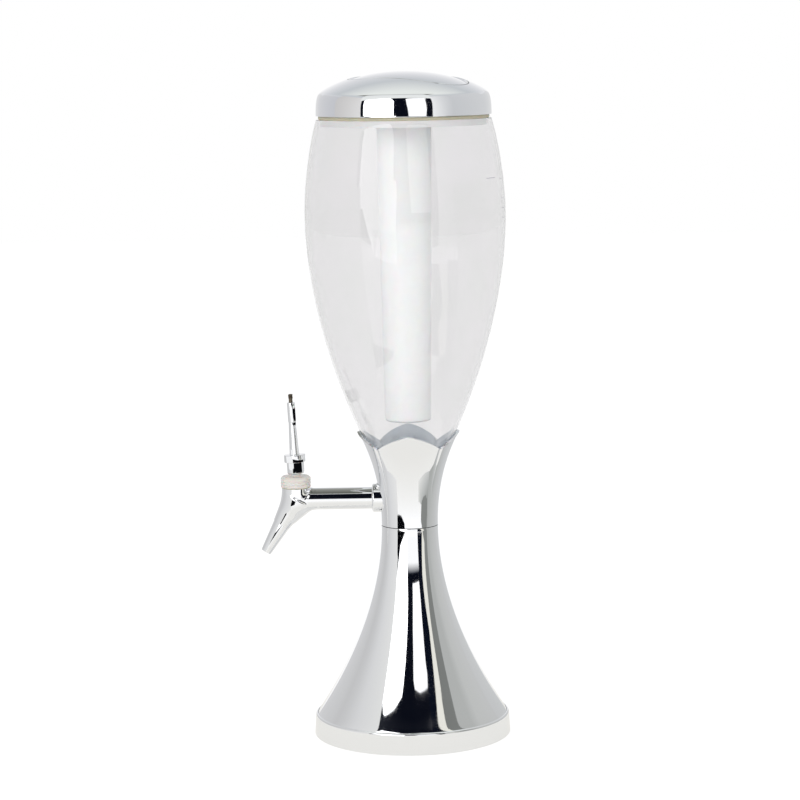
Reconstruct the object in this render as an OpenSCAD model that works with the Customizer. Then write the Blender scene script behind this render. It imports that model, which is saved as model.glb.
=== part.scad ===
// Table-top beer tower: a clear vase-shaped tank on a flared chrome pedestal,
// with a lift-off domed lid that carries an ice tube, and a lever tap on one side.
// Millimetres. Z is up, the tower axis is the Z axis, the base rests on z = 0
// and the tap points to -X.

/* [Base] */
// Radius of the base ring at the table
base_r = 88; // [87:0.5:96]
// Height of the base ring
ring_h = 20; // [18:0.5:26]
// How much the ring leans in from its foot to its top
ring_draft = 1.1; // [0.5:0.1:2]
// Wall of the base ring
ring_wall = 2; // [1.6:0.1:2.1]
// Rounding of the ring's top edge
ring_lip = 2; // [1:0.1:2]
// Clearance of the ring's foot above the table
ring_lift = 0.6; // [0.3:0.1:1.2]
// Width of the inner shelf of the ring
shelf_w = 8; // [5:0.5:10]
// Thickness of the inner shelf of the ring
shelf_t = 2.5; // [1.5:0.1:4]
// Thickness of the anti-slip pad
pad_t = 2; // [1:0.1:3]
// How far the anti-slip pad stays inside the ring's foot
pad_inset = 8; // [6:0.5:16]
// Thickness of the base plate
plate_t = 4; // [3:0.1:6]
// How far the ballast weight stays inside the ring's foot
ballast_inset = 28; // [26:1:44]
// Height of the ballast weight
ballast_h = 12; // [6:0.5:18]
// Bore of the ballast weight, radius
ballast_bore_r = 9; // [6:0.5:14]

/* [Pedestal] */
// Clearance of the pedestal's foot in the ring
foot_gap = 0.1; // [0.05:0.05:0.4]
// Height of the pedestal's top edge above the table
pedestal_h = 189.6; // [170:1:230]
// Radius of the waist where pedestal and collar meet
waist_r = 25.7; // [25.5:0.1:30]
// How steeply the flare leaves the foot, radius over height
foot_slope = 0.5; // [0.3:0.05:0.8]
// Length of the steep stretch at the foot
foot_reach = 6.6; // [4:0.2:14]
// Length of the straight pull below the waist
waist_reach = 88; // [60:1:110]
// Wall of the pedestal
pedestal_wall = 2.4; // [1.6:0.1:3]
// Number of base screws
base_screw_n = 4; // [3:1:6]
// How far the circle of base screws lies inside the ring's foot
screw_inset = 17; // [16.5:0.5:19]
// Radius of a screw boss in the pedestal
boss_r = 4.5; // [3.5:0.1:5]
// Shank radius of a base screw
base_screw_r = 1.5; // [1:0.1:2]
// Head radius of a base screw
base_head_r = 3.2; // [2.6:0.1:3.8]
// Length of a base screw
base_screw_len = 16; // [10:0.5:20]
// Height of the screw bosses above the pedestal's foot
boss_h = 32; // [20:1:40]

/* [Neck] */
// Thickness of the gasket between pedestal and collar
neck_gap = 0.6; // [0.4:0.1:1.2]
// How far the neck gasket stays behind the waist
neck_inset = 0.7; // [0.3:0.1:1.5]
// Depth of the threaded coupling in the pedestal
coupling_h = 24; // [16:0.5:40]
// Outer radius of the tank's threaded spigot
spigot_r = 17; // [14:0.5:18]
// Wall of the spigot
spigot_wall = 4; // [2:0.5:6]
// Length of the spigot below the tank's floor
spigot_len = 24; // [14:0.5:26]
// Clearance of the spigot in the coupling, collar and gaskets
spigot_gap = 0.2; // [0.1:0.05:0.5]

/* [Collar] */
// Height of the petal tips above the collar's foot
collar_h = 83.8; // [76:0.2:90]
// Radius of the collar's curve at the petal tips
collar_tip_r = 45.6; // [45.2:0.1:48]
// Length of the straight pull above the waist
collar_reach = 49.5; // [40:0.5:58]
// Length of the last stretch below the petal tips
tip_reach = 9.4; // [6:0.2:14]
// How steeply the collar ends at the petal tips, radius over height
tip_slope = 0.3; // [0.2:0.02:0.45]
// Depth of the valleys between the petals
petal_depth = 13.2; // [8:0.2:18]
// How pointed a petal is
petal_power = 1.25; // [1.05:0.05:2]
// Floor of the collar
collar_floor = 3; // [2:0.1:4]
// Gap between the collar and the tank
collar_gap = 0.4; // [0.3:0.05:0.6]
// Depth of the crease below each valley
crease_depth = 0.9; // [0.3:0.1:1.2]
// Width of the crease below each valley
crease_w = 0.8; // [0.4:0.1:1.5]
// Length of the crease below each valley
crease_len = 46; // [20:1:55]

/* [Tank] */
// Height of the tank above its floor gasket
tank_h = 356.1; // [352:0.1:380]
// Outer radius of the mouth
mouth_r = 76.7; // [74:0.1:78]
// Outer radius of the belly
belly_r = 88.55; // [84:0.1:94]
// Height of the belly above the tank's floor
belly_h = 271.6; // [262:0.2:282]
// Outer radius of the tank where it enters the collar
tulip_r = 44.3; // [43:0.1:44.5]
// Height of that place above the tank's floor
tulip_h = 82.1; // [82:0.1:88]
// How steeply the tank widens there, radius over height
tulip_slope = 0.4426; // [0.36:0.01:0.5]
// Outer radius of the tank's lower neck
tank_neck_r = 22.8; // [22:0.1:23]
// Height of the straight lower neck
tank_neck_h = 21.6; // [20:0.2:26]
// Wall of the tank
tank_wall = 2.6; // [2:0.1:3]
// Wall of the tank's lower neck
tank_neck_wall = 3; // [2.5:0.1:3.2]
// Thickness of the tank's floor
tank_floor = 3.6; // [2.5:0.1:5]
// Thickness of the gasket under the tank's floor
tank_gasket_t = 1.2; // [0.8:0.1:2]

/* [Tap] */
// Height of the tap's pipe axis above the collar's foot
tap_h = 23.8; // [22:0.1:26]
// Distance of the valve axis from the tower axis
valve_x = 101; // [90:0.5:130]
// Outer radius of the pipe
pipe_r = 9.75; // [9:0.05:10.4]
// Distance of the pipe's shoulder from the tower axis
shoulder_x = 33.3; // [31:0.1:36]
// Radius of the shank behind the shoulder
shank_r = 8; // [7:0.1:8.4]
// Clearance of the shank in the walls it passes
shank_gap = 0.15; // [0.1:0.05:0.3]
// Distance of the shank's end from the tower axis
shank_end_x = 7.5; // [5:0.1:9]
// Radius of the bore through the pipe
pipe_bore_r = 4.8; // [3.5:0.1:5.2]
// Radius of the escutcheon flange
flange_r = 12.8; // [11.5:0.1:14]
// Chamfer of the flange's outer edge
flange_chamfer = 1.2; // [0.4:0.1:2]
// Distance of the flat seat inside the neck from the tower axis
seat_x = 15.6; // [15.2:0.1:16]
// Radius of the silicone washer on that seat
washer_r = 11.4; // [10.5:0.1:11.6]
// Thickness of the silicone washer
washer_t = 1.4; // [1:0.1:1.6]
// Width of the lock nut across its flats
nut_flats = 20; // [19:0.5:21]
// Thickness of the lock nut
nut_t = 4.4; // [3:0.1:5]
// Radius of the valve chamber
chamber_r = 12.6; // [12.2:0.1:14]
// Height of the chamber's top above the pipe axis
chamber_top = 10.4; // [10:0.1:14]
// Radius of the chamber's bore
chamber_bore_r = 9.6; // [9.2:0.1:9.9]
// Depth of the valve seat below the pipe axis
seat_drop = 5.5; // [5:0.1:6.5]
// Radius of the valve seat's hole
seat_hole_r = 4.5; // [3.5:0.1:5]

/* [Spout] */
// Angle of the spout from the vertical, degrees
spout_angle = 30.4; // [25:0.2:35]
// Length of the spout from the pipe axis to its outlet
spout_len = 54.7; // [50:0.1:65]
// Radius of the spout where it leaves the chamber
spout_root_r = 12.2; // [11.5:0.1:12.6]
// Radius of the spout where the nozzle begins
spout_end_r = 8.2; // [8:0.1:9]
// Length of the nozzle
nozzle_len = 28.9; // [22:0.1:32]
// Radius of the nozzle where it begins
nozzle_root_r = 7.8; // [7.4:0.1:8]
// Radius of the nozzle at the outlet
nozzle_tip_r = 4.75; // [4.6:0.05:6]
// Radius of the outlet bore
outlet_r = 3.5; // [2.8:0.1:3.8]
// Length of the straight outlet bore
outlet_len = 12; // [8:0.5:16]
// Length of the nozzle's plug inside the spout
plug_in = 7.5; // [5:0.1:9]
// Clearance of the nozzle's plug in the spout
plug_gap = 0.06; // [0.05:0.01:0.15]
// Radius of the bore through the spout
spout_bore_r = 5; // [4:0.1:5.4]
// Radius of the nozzle's plug
nozzle_plug_r = 6.2; // [5.6:0.1:6.6]
// Radius of the web between pipe and spout
web_r = 5.5; // [4:0.1:7]
// Length of the web between pipe and spout
web_len = 28; // [20:1:32]
// How much flatter than the spout the web lies, degrees
web_turn = 20; // [10:1:30]

/* [Valve] */
// Thickness of the gasket under the bonnet
bonnet_gasket_t = 0.9; // [0.5:0.1:1.4]
// Radius of the bonnet
bonnet_r = 13.4; // [13:0.1:15]
// Height of the bonnet
bonnet_h = 9.6; // [8.6:0.1:12]
// Bevel of the bonnet's top edge
bonnet_bevel = 1.6; // [0.8:0.1:2.4]
// Radius of the boss on the bonnet
gland_r = 4.9; // [4.6:0.1:5.6]
// Height of the boss on the bonnet
gland_h = 2.1; // [1.5:0.1:4]
// Depth of the bonnet's threaded skirt in the chamber
skirt_h = 5; // [4:0.1:5.2]
// Clearance of the skirt in the chamber
skirt_gap = 0.1; // [0.08:0.01:0.2]
// Depth of the finger grooves round the bonnet
groove_d = 0.4; // [0.2:0.05:0.6]
// Width of a finger groove
groove_w = 1.2; // [0.9:0.1:1.6]
// Radius of the spring's room in the bonnet
spring_room_r = 6.8; // [6.4:0.1:7.4]
// Height of the spring's room above the chamber
spring_room_h = 4; // [3:0.1:5]
// Radius of the valve stem
stem_r = 3; // [2.8:0.05:3.2]
// Running clearance of the stem
stem_gap = 0.08; // [0.05:0.01:0.1]
// Thickness of the stem's flat tongue
tongue_t = 4; // [3:0.1:4.4]
// Radius of the spring's seat on the stem
spring_seat_r = 6.2; // [5.9:0.1:6.4]
// Thickness of the spring's seat on the stem
spring_seat_t = 0.8; // [0.5:0.1:1.2]
// Radius of the silicone valve plug
plug_r = 7.2; // [6:0.1:8]
// Height of the silicone valve plug
plug_h = 4.8; // [3.5:0.1:5.2]
// Sole of the valve plug below the stem
plug_sole = 2; // [1.2:0.1:3]
// Height of the stem's seal
seal_t = 2; // [1.4:0.1:2.4]
// Mean radius of the valve spring
spring_r = 5.2; // [4.6:0.1:5.4]
// Radius of the spring's wire
wire_r = 0.55; // [0.4:0.05:0.7]
// Turns of the valve spring
spring_turns = 5; // [3:1:6]

/* [Lever] */
// Lean of the lever at rest, degrees
lever_lean = 3; // [2:0.2:5]
// Distance of the pin above the foot's bottom
pin_rise = 6; // [5.5:0.1:8]
// Radius of the lever pin
pin_r = 1.5; // [1:0.05:1.6]
// Running clearance of the pin in the tongue
pin_gap = 0.05; // [0.02:0.01:0.09]
// Radius of the lever's foot
lever_foot_r = 7.8; // [7.2:0.1:9]
// Radius of the foot's upper rim
lever_rim_r = 9.7; // [8.6:0.1:11]
// Height of the rim's underside above the pin
rim_low = 4.4; // [4.2:0.1:6]
// Height of the rim's top above the pin
rim_high = 11; // [9:0.1:13]
// Clearance of the tongue in the foot's slot
slot_gap = 0.25; // [0.15:0.05:0.4]
// Radius of the lever above its foot
lever_root_r = 4.4; // [4:0.1:5]
// Radius of the lever under the ferrule
lever_tip_r = 3.2; // [3:0.05:3.4]
// Height of the ferrule's foot above the pin
ferrule_low = 40; // [32:0.5:60]
// Length of the ferrule
ferrule_len = 17.8; // [12:0.2:24]
// Radius of the ferrule
ferrule_r = 3.55; // [3.45:0.05:4]
// Radius of the lever inside the ferrule
core_r = 2.4; // [2.2:0.05:2.7]
// Depth of the lever's core below the stud
stud_root = 6; // [4:0.5:8]
// Radius of the stud's plain neck
stud_neck_r = 1.7; // [1.3:0.05:1.8]
// Length of the stud's plain neck above the ferrule
stud_neck_len = 3.2; // [2:0.1:6]
// Radius of the handle stud's thread
stud_r = 2.15; // [2:0.05:2.6]
// Length of the handle stud's thread
stud_len = 4.2; // [3:0.1:10]
// Clearance inside the ferrule and round the stud
ferrule_gap = 0.05; // [0.02:0.01:0.1]

/* [Lid] */
// Height of the gasket band between tank and lid
band_h = 3.1; // [2:0.1:4]
// How far the gasket stays behind the tank's mouth
band_inset = 0.5; // [0.2:0.1:1]
// Radius of the lid
lid_r = 77.35; // [77:0.05:82]
// Height of the lid's side up to the shoulder
lid_side_h = 19.4; // [17:0.2:24]
// Radius of the lid's shoulder
shoulder_r = 74.3; // [73:0.1:75]
// Height of the dome above the shoulder
dome_h = 19.6; // [16:0.2:26]
// Wall of the lid shell
lid_wall = 2.2; // [1.6:0.1:2.6]
// Depth of the panel let into the dome
panel_depth = 0.9; // [0.4:0.1:1.2]
// Mean radius of the panel
panel_r = 50.2; // [44:0.2:52]
// Shift of the panel towards the right
panel_shift = 5.4; // [3:0.2:6]
// How oval the panel is
panel_oval = 2.7; // [0:0.1:3]
// How three-lobed the panel is
panel_lobe = 5; // [0:0.2:5.4]
// Thickness of the liner's disc
liner_t = 2.5; // [2:0.1:3.5]
// Clearance of the liner in the shell
liner_gap = 0.3; // [0.2:0.05:0.5]
// Depth of the liner's plug ring in the tank's mouth
plug_ring_h = 6; // [4:0.5:20]
// Clearance of the plug ring in the mouth
plug_ring_gap = 0.7; // [0.5:0.05:1]
// Wall of the plug ring
plug_ring_wall = 2; // [1.5:0.1:3]
// Number of lid screws
lid_screw_n = 4; // [3:1:6]
// Radius of the circle of lid screws
lid_screw_pcr = 56; // [46:0.5:60]
// Shank radius of a lid screw
lid_screw_r = 1.25; // [1:0.05:1.5]
// Head radius of a lid screw
lid_head_r = 2.8; // [2.2:0.1:3]
// Head height of a lid screw
lid_head_h = 1.8; // [1.2:0.1:2.2]
// Length of a lid screw above the liner
lid_screw_len = 9; // [6:0.5:14]
// Radius of a screw boss in the lid
lid_boss_r = 3.6; // [3.2:0.1:4.5]

/* [Ice tube] */
// Length of the ice tube below the liner
tube_len = 269.6; // [240:0.2:272]
// Outer radius of the ice tube under the liner
tube_top_r = 24.2; // [22:0.1:25]
// Outer radius of the ice tube at its bottom
tube_foot_r = 20.4; // [18:0.1:21]
// Wall of the ice tube
tube_wall = 1.8; // [1.4:0.1:2.4]
// Rounding of the tube's foot
tube_round = 2.5; // [1:0.1:4]
// Radius of the tube's neck in the liner
tube_neck_r = 26; // [25.5:0.1:27]
// Height of the tube's neck above the liner's underside
tube_neck_h = 14; // [12:0.2:18]
// Clearance of the tube's neck in its socket
tube_gap = 0.4; // [0.3:0.05:0.6]
// Wall of the ice tube's socket
socket_wall = 4.6; // [4:0.1:6]
// Width of the socket's flange on the liner
socket_flange = 4; // [2:0.5:6]
// Thickness of the socket's flange
socket_flange_t = 2; // [1:0.1:3]
// Number of bayonet lugs
lug_n = 3; // [2:1:4]
// How far a lug stands out of the neck
lug_out = 2.4; // [1.5:0.1:3]
// Height of a lug
lug_h = 3.6; // [2.4:0.1:4.5]
// Width of a lug
lug_w = 8; // [5:0.5:10]
// Height of the lugs above the liner's underside
lug_low = 6.4; // [5.5:0.1:7]
// Clearance round a lug
lug_gap = 0.35; // [0.3:0.05:0.6]
// Turn from the lock to the entry slots, degrees
lug_turn = 60; // [50:1:60]
// Thickness of the ice tube's seal
tube_seal_t = 1.8; // [1:0.1:2.4]

/* [Hidden] */
$fn = 96;
eps = 0.05;              // overlap of joined volumes and cutters
steps = 14;              // straight pieces in each curve of an outline
seat_touch = 0.02;       // clearance where two static faces meet
fit = 0.1;               // clearance of a part pushed into another
screw_gap = 0.3;         // clearance of a screw in the plate it passes

// Base stack
plate_z = pad_t;
shelf_z = plate_z + plate_t;
foot_z = shelf_z + shelf_t;
ring_top_r = base_r - ring_draft;
ring_in_r = ring_top_r - ring_wall;
foot_r = ring_in_r - foot_gap;
pad_r = base_r - pad_inset;
ballast_r = base_r - ballast_inset;
base_screw_pcr = base_r - screw_inset;
shelf_in_r = ring_in_r - shelf_w;
ballast_z = plate_z + plate_t;
head_h = 2;              // height of a countersunk screw head
boss_top_z = foot_z + boss_h;
pedestal_z = ring_h - 0.5;  // where the pedestal rises out of the ring
pedestal_bevel = 1;      // height of the bevel inside the ring's lip

// Neck and collar stack
collar_z = pedestal_h + neck_gap;
tank_z = collar_z + collar_floor + tank_gasket_t;
tap_z = collar_z + tap_h;
tip_z = collar_z + collar_h;
valley_z = tip_z - petal_depth;
spigot_hole_r = spigot_r + spigot_gap;
gasket_hole_r = spigot_hole_r + 0.3;
petal_r = (tulip_r + collar_tip_r) / 2 - 2;  // radius at which the petals are drawn
seat_h = tap_z - tank_z + washer_r + 0.6;    // height of the washer's flat seat

// Valve stack
chamber_z = tap_z + chamber_top;
seat_z = tap_z - seat_drop;
bonnet_z = chamber_z + bonnet_gasket_t;
gland_z = bonnet_z + bonnet_h + gland_h;
spring_top_z = chamber_z + spring_room_h;
spring_low_z = seat_z + plug_h + spring_seat_t;
cam_play = 0.12;         // free play between the foot and the boss at rest
cam_half = sqrt(pow(gland_r, 2) - pow(tongue_t / 2 + slot_gap, 2));
pin_z = gland_z + (pin_rise + cam_half * sin(lever_lean)) / cos(lever_lean) + cam_play;
tongue_z = gland_z - 3.6; // foot of the stem's flat tongue
seal_out_r = stem_r + 1.7;
seal_z = spring_top_z + 1.4;
slot_top = stem_r + 0.8; // roof of the foot's slot above the pin
foot_round = 1.2;        // rounding of the foot's lower edge
core_h = ferrule_low + ferrule_len - 0.8;    // the lever's end inside the ferrule
nozzle_t = spout_len - nozzle_len;
ball_drop = 3;           // the chamber's round bottom below the pipe axis
seat_wall = 4;           // depth of the seat's hole before its round end
spout_bore_t = 10;       // where the spout's bore begins
nozzle_mouth_r = 4.9;    // radius of the nozzle's bore inside the spout
web_x = 15;              // distance of the web's upper end from the valve axis

// Lid stack
band_z = tank_z + tank_h;
lid_z = band_z + band_h;
lid_shoulder_z = lid_z + lid_side_h;
lid_top_z = lid_shoulder_z + dome_h;
plug_ring_r = mouth_r - tank_wall - plug_ring_gap;
socket_r = tube_neck_r + tube_gap;
socket_h = tube_neck_h + tube_seal_t + 2 * seat_touch;
socket_out_r = socket_r + socket_wall;
tube_step = 1.2;         // height of the step between tube and neck

// How far each stretch of the tank's and the lid's outline follows the tangent at its ends
neck_pull = 16;
tulip_pull = 28;
flare_pull = 53.4;
belly_low_pull = 66.9;
belly_top_pull = 38.5;
mouth_pull = [2.3, 3.8];
lid_side_pull = 9.9;
lid_edge_pull = [2.3, 2.8];
dome_edge_pull = [1.9, 2.4];
dome_flat_r = 46;

// Outlines. Points are [radius, height].
function bezier(p, n = steps) = [for (i = [0:n]) let (t = i / n, u = 1 - t)
    pow(u, 3) * p[0] + 3 * u * u * t * p[1] + 3 * u * t * t * p[2] + pow(t, 3) * p[3]];
function side(a, b) = let (v = b - a) [v[1], -v[0]] / norm(v);
function moved(path, d) = [for (i = [0:len(path) - 1])
    path[i] + d * side(path[max(i - 1, 0)], path[min(i + 1, len(path) - 1)])];
function clear_of_axis(path) = [for (p = path) [max(0, p[0]), p[1]]];
function flipped(path) = [for (i = [len(path) - 1:-1:0]) path[i]];
function tail(path) = [for (i = [1:len(path) - 1]) path[i]];
function arc(c, r, from, to, n = 6) = [for (i = [0:n]) let (a = from + (to - from) * i / n)
    c + r * [cos(a), sin(a)]];

pedestal_line = bezier([
    [foot_r, pedestal_z],
    [foot_r - foot_slope * foot_reach, pedestal_z + foot_reach],
    [waist_r, pedestal_h - waist_reach],
    [waist_r, pedestal_h]
]);
collar_line = bezier([
    [waist_r, collar_z],
    [waist_r, collar_z + collar_reach],
    [collar_tip_r - tip_slope * tip_reach, tip_z - tip_reach],
    [collar_tip_r, tip_z]
]);
tank_low_line = bezier([
    [tank_neck_r, tank_z + tank_neck_h],
    [tank_neck_r, tank_z + tank_neck_h + neck_pull],
    [tulip_r - tulip_slope * tulip_pull, tank_z + tulip_h - tulip_pull],
    [tulip_r, tank_z + tulip_h]
]);
tank_mid_line = bezier([
    [tulip_r, tank_z + tulip_h],
    [tulip_r + tulip_slope * flare_pull, tank_z + tulip_h + flare_pull],
    [belly_r, tank_z + belly_h - belly_low_pull],
    [belly_r, tank_z + belly_h]
]);
tank_top_line = bezier([
    [belly_r, tank_z + belly_h],
    [belly_r, tank_z + belly_h + belly_top_pull],
    [mouth_r + mouth_pull[0], band_z - mouth_pull[1]],
    [mouth_r, band_z]
]);
tank_line = concat([[tank_neck_r, tank_z]], tank_low_line, tail(tank_mid_line), tail(tank_top_line));
lid_line = concat(
    bezier([
        [lid_r, lid_z], [lid_r, lid_z + lid_side_pull],
        [shoulder_r + lid_edge_pull[0], lid_shoulder_z - lid_edge_pull[1]],
        [shoulder_r, lid_shoulder_z]
    ], 8),
    tail(bezier([
        [shoulder_r, lid_shoulder_z],
        [shoulder_r - dome_edge_pull[0], lid_shoulder_z + dome_edge_pull[1]],
        [dome_flat_r, lid_top_z], [0, lid_top_z]
    ]))
);

// Placement helpers
module ring_of(n, r, turn = 0) {
    for (i = [0:n - 1]) rotate(turn + 360 * i / n) translate([r, 0, 0]) children();
}
module along_tap(x) { translate([-x, 0, tap_z]) rotate([0, -90, 0]) children(); }
module along_spout(t) {
    translate([-valve_x, 0, tap_z]) rotate([0, 180 + spout_angle, 0]) translate([0, 0, t]) children();
}
module on_valve(z) { translate([-valve_x, 0, z]) children(); }
module on_lever(h) {
    translate([-valve_x, 0, pin_z]) rotate([0, -lever_lean, 0]) translate([0, 0, h]) children();
}
module tube(r_out, r_in, h) {
    difference() {
        cylinder(h = h, r = r_out);
        translate([0, 0, -eps]) cylinder(h = h + 2 * eps, r = r_in);
    }
}

// Base
module base_pad() color("#2b2b2d") cylinder(h = pad_t, r = pad_r);

module base_plate() color("#3a3b3d") difference() {
    translate([0, 0, plate_z]) cylinder(h = plate_t, r = ring_in_r - screw_gap);
    ring_of(base_screw_n, base_screw_pcr, 45) {
        translate([0, 0, plate_z - eps]) cylinder(h = plate_t + 2 * eps, r = base_screw_r + screw_gap);
        translate([0, 0, plate_z - eps]) cylinder(h = head_h + eps, r = base_head_r + fit);
    }
}

module base_screws() color("#9a9da0") ring_of(base_screw_n, base_screw_pcr, 45) {
    translate([0, 0, plate_z + fit]) cylinder(h = head_h - fit, r = base_head_r);
    translate([0, 0, plate_z + fit]) cylinder(h = base_screw_len - fit, r = base_screw_r);
}

module ballast_weight() color("#4a4c4f") translate([0, 0, ballast_z])
    tube(ballast_r, ballast_bore_r, ballast_h);

module base_ring() color("#d8dadc") rotate_extrude() polygon(concat(
    [[ring_in_r, ring_lift], [base_r - fit, ring_lift], [base_r, ring_lift + fit]],
    arc([ring_top_r - ring_lip, ring_h - ring_lip], ring_lip, 0, 90),
    [
        [ring_in_r, ring_h - pedestal_bevel], [ring_in_r, foot_z], [shelf_in_r, foot_z],
        [shelf_in_r, shelf_z], [ring_in_r, shelf_z]
    ]
));

// Pedestal
module pedestal_skin(inset) rotate_extrude() polygon(concat(
    [[0, foot_z], [foot_r - inset, foot_z]],
    moved(pedestal_line, -inset),
    [[0, pedestal_h]]
));

module pedestal() color("#d4d6d8") difference() {
    union() {
        difference() {
            pedestal_skin(0);
            translate([0, 0, -seat_touch]) pedestal_skin(pedestal_wall);
            translate([0, 0, pedestal_h - 1]) cylinder(h = 2, r = waist_r - pedestal_wall);
        }
        intersection() {
            ring_of(base_screw_n, base_screw_pcr, 45)
                translate([0, 0, shelf_z]) cylinder(h = boss_top_z - shelf_z, r = boss_r);
            union() {
                pedestal_skin(pedestal_wall / 2);
                cylinder(h = foot_z + eps, r = shelf_in_r - screw_gap);
            }
        }
    }
    ring_of(base_screw_n, base_screw_pcr, 45)
        translate([0, 0, shelf_z - eps]) cylinder(h = base_screw_len, r = base_screw_r);
}

module neck_coupling() color("#c9cbcd") translate([0, 0, pedestal_h - coupling_h])
    tube(waist_r - pedestal_wall - fit, spigot_hole_r, coupling_h - fit);

module neck_gasket() color("#1d1e20") translate([0, 0, pedestal_h])
    tube(waist_r - neck_inset, gasket_hole_r, neck_gap);

// Collar
function petal_z(turn) = tip_z - petal_depth * pow(abs(turn) / 45, petal_power);

// What is cut away above one petal, in the quarter of the collar that it covers
module petal_gap() {
    rim = [for (turn = [-45:5:45]) [petal_r * sin(turn), petal_z(turn)]];
    far = 2 * petal_r;
    intersection() {
        rotate([90, 0, 0]) linear_extrude(height = far) polygon(concat(
            [[-far, valley_z]], rim, [[far, valley_z], [far, band_z], [-far, band_z]]
        ));
        linear_extrude(height = band_z) polygon([[0, 0], [far, -far], [-far, -far]]);
    }
}

module collar() color("#d0d2d4") difference() {
    rotate_extrude() polygon(concat([[0, collar_z]], collar_line, [[0, tip_z]]));
    translate([0, 0, collar_z - eps]) cylinder(h = collar_h, r = spigot_hole_r);
    rotate_extrude() polygon(concat(
        [[0, collar_z + collar_floor]],
        moved(concat([[tank_neck_r, collar_z + collar_floor]], tail(tank_line)), collar_gap),
        [[0, band_z]]
    ));
    for (i = [0:3]) rotate(90 * i) petal_gap();
    for (i = [0:3]) rotate(45 + 90 * i) crease();
    along_tap(0) cylinder(h = shoulder_x, r = shank_r + shank_gap);
}

// A fine V line that deepens from its foot up to the valley between two petals
module crease() rotate([90, 0, 0]) linear_extrude(height = crease_w, center = true) {
    line = [for (p = collar_line) if (p[1] > valley_z - crease_len && p[1] < tip_z) p];
    foot = line[0][1];
    polygon(concat(
        [for (p = line) p - [seat_touch + crease_depth * (p[1] - foot) / (valley_z - foot), 0]],
        [for (p = flipped(line)) p + [crease_w, 0]]
    ));
}

module tank_gasket() color("#e8e6e0") translate([0, 0, collar_z + collar_floor])
    tube(tank_neck_r, gasket_hole_r, tank_gasket_t);

// Tank
module tank_inside() rotate_extrude() polygon(concat(
    [
        [0, tank_z + tank_floor], [tank_neck_r - tank_neck_wall, tank_z + tank_floor],
        [tank_neck_r - tank_neck_wall, tank_z + tank_neck_h]
    ],
    tail(moved(concat(tank_low_line, tail(tank_mid_line), tail(tank_top_line)), -tank_wall)),
    [[mouth_r - tank_wall, band_z + 1], [0, band_z + 1]]
));

// The neck stays thick up to the washer on the tap's side, as a flat seat for it
module tank() color("#dfe5e8", 0.35) difference() {
    union() {
        difference() {
            rotate_extrude() polygon(concat([[0, tank_z]], tank_line, [[0, band_z]]));
            intersection() {
                tank_inside();
                union() {
                    translate([-seat_x, -belly_r, tank_z]) cube([2 * belly_r, 2 * belly_r, seat_h]);
                    translate([0, 0, tank_z + seat_h - eps]) cylinder(h = tank_h, r = 2 * belly_r);
                }
            }
        }
        translate([0, 0, tank_z - spigot_len]) tube(spigot_r, spigot_r - spigot_wall, spigot_len + eps);
    }
    along_tap(0) cylinder(h = 2 * tank_neck_r, r = shank_r + shank_gap);
}

// Tap
module tap_body() color("#cfd1d3") difference() {
    union() {
        along_tap(shank_end_x) cylinder(h = shoulder_x - shank_end_x + 1, r = shank_r);
        along_tap(shoulder_x) cylinder(h = valve_x - shoulder_x, r = pipe_r);
        on_valve(tap_z - ball_drop) cylinder(h = chamber_top + ball_drop, r = chamber_r);
        on_valve(tap_z - ball_drop) sphere(r = chamber_r);
        along_spout(0) cylinder(h = nozzle_t, r1 = spout_root_r, r2 = spout_end_r);
        translate([web_x - valve_x, 0, tap_z]) rotate([0, 180 + spout_angle + web_turn, 0])
            cylinder(h = web_len, r = web_r);
    }
    along_tap(shank_end_x - eps) cylinder(h = valve_x - shank_end_x, r = pipe_bore_r);
    on_valve(seat_z) cylinder(h = chamber_z - seat_z + eps, r = chamber_bore_r);
    on_valve(seat_z - seat_wall) cylinder(h = seat_wall + eps, r = seat_hole_r);
    on_valve(seat_z - seat_wall) sphere(r = seat_hole_r);
    along_spout(spout_bore_t) cylinder(h = spout_len, r = spout_bore_r);
    along_spout(nozzle_t - plug_in - fit) cylinder(h = plug_in + 1, r = nozzle_plug_r + plug_gap);
}

module tap_flange() color("#d4d6d8") difference() {
    along_tap(0) rotate_extrude() polygon([
        [0, seat_x], [flange_r, seat_x], [flange_r, shoulder_x - flange_chamfer],
        [flange_r - flange_chamfer, shoulder_x], [0, shoulder_x]
    ]);
    rotate_extrude() polygon(concat([[0, collar_z]], moved(collar_line, seat_touch), [[0, tip_z]]));
    along_tap(0) cylinder(h = shoulder_x + eps, r = shank_r + shank_gap);
}

module tap_washer() color("#ece8de") along_tap(seat_x - washer_t)
    tube(washer_r, shank_r + shank_gap, washer_t - seat_touch);

module tap_locknut() color("#e9e9e6") along_tap(seat_x - washer_t - nut_t) difference() {
    rotate(30) cylinder(h = nut_t - seat_touch, r = nut_flats / sqrt(3), $fn = 6);
    translate([0, 0, -eps]) cylinder(h = nut_t + 2 * eps, r = shank_r + seat_touch);
}

module spout_nozzle() color("#cfd1d3") difference() {
    union() {
        along_spout(nozzle_t + seat_touch)
            cylinder(h = nozzle_len - seat_touch, r1 = nozzle_root_r, r2 = nozzle_tip_r);
        along_spout(nozzle_t - plug_in) cylinder(h = plug_in + 1, r = nozzle_plug_r);
    }
    along_spout(spout_len - outlet_len) cylinder(h = outlet_len + eps, r = outlet_r);
    along_spout(nozzle_t - plug_in - eps)
        cylinder(h = nozzle_len + plug_in - outlet_len + 2 * eps, r1 = nozzle_mouth_r, r2 = outlet_r);
}

// Valve
module bonnet_gasket() color("#e4e0d8") on_valve(chamber_z)
    tube(chamber_r - screw_gap, chamber_bore_r + fit, bonnet_gasket_t);

function groove(z) = [
    [bonnet_r, z], [bonnet_r - groove_d, z + groove_d],
    [bonnet_r - groove_d, z + groove_w - groove_d], [bonnet_r, z + groove_w]
];

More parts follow.
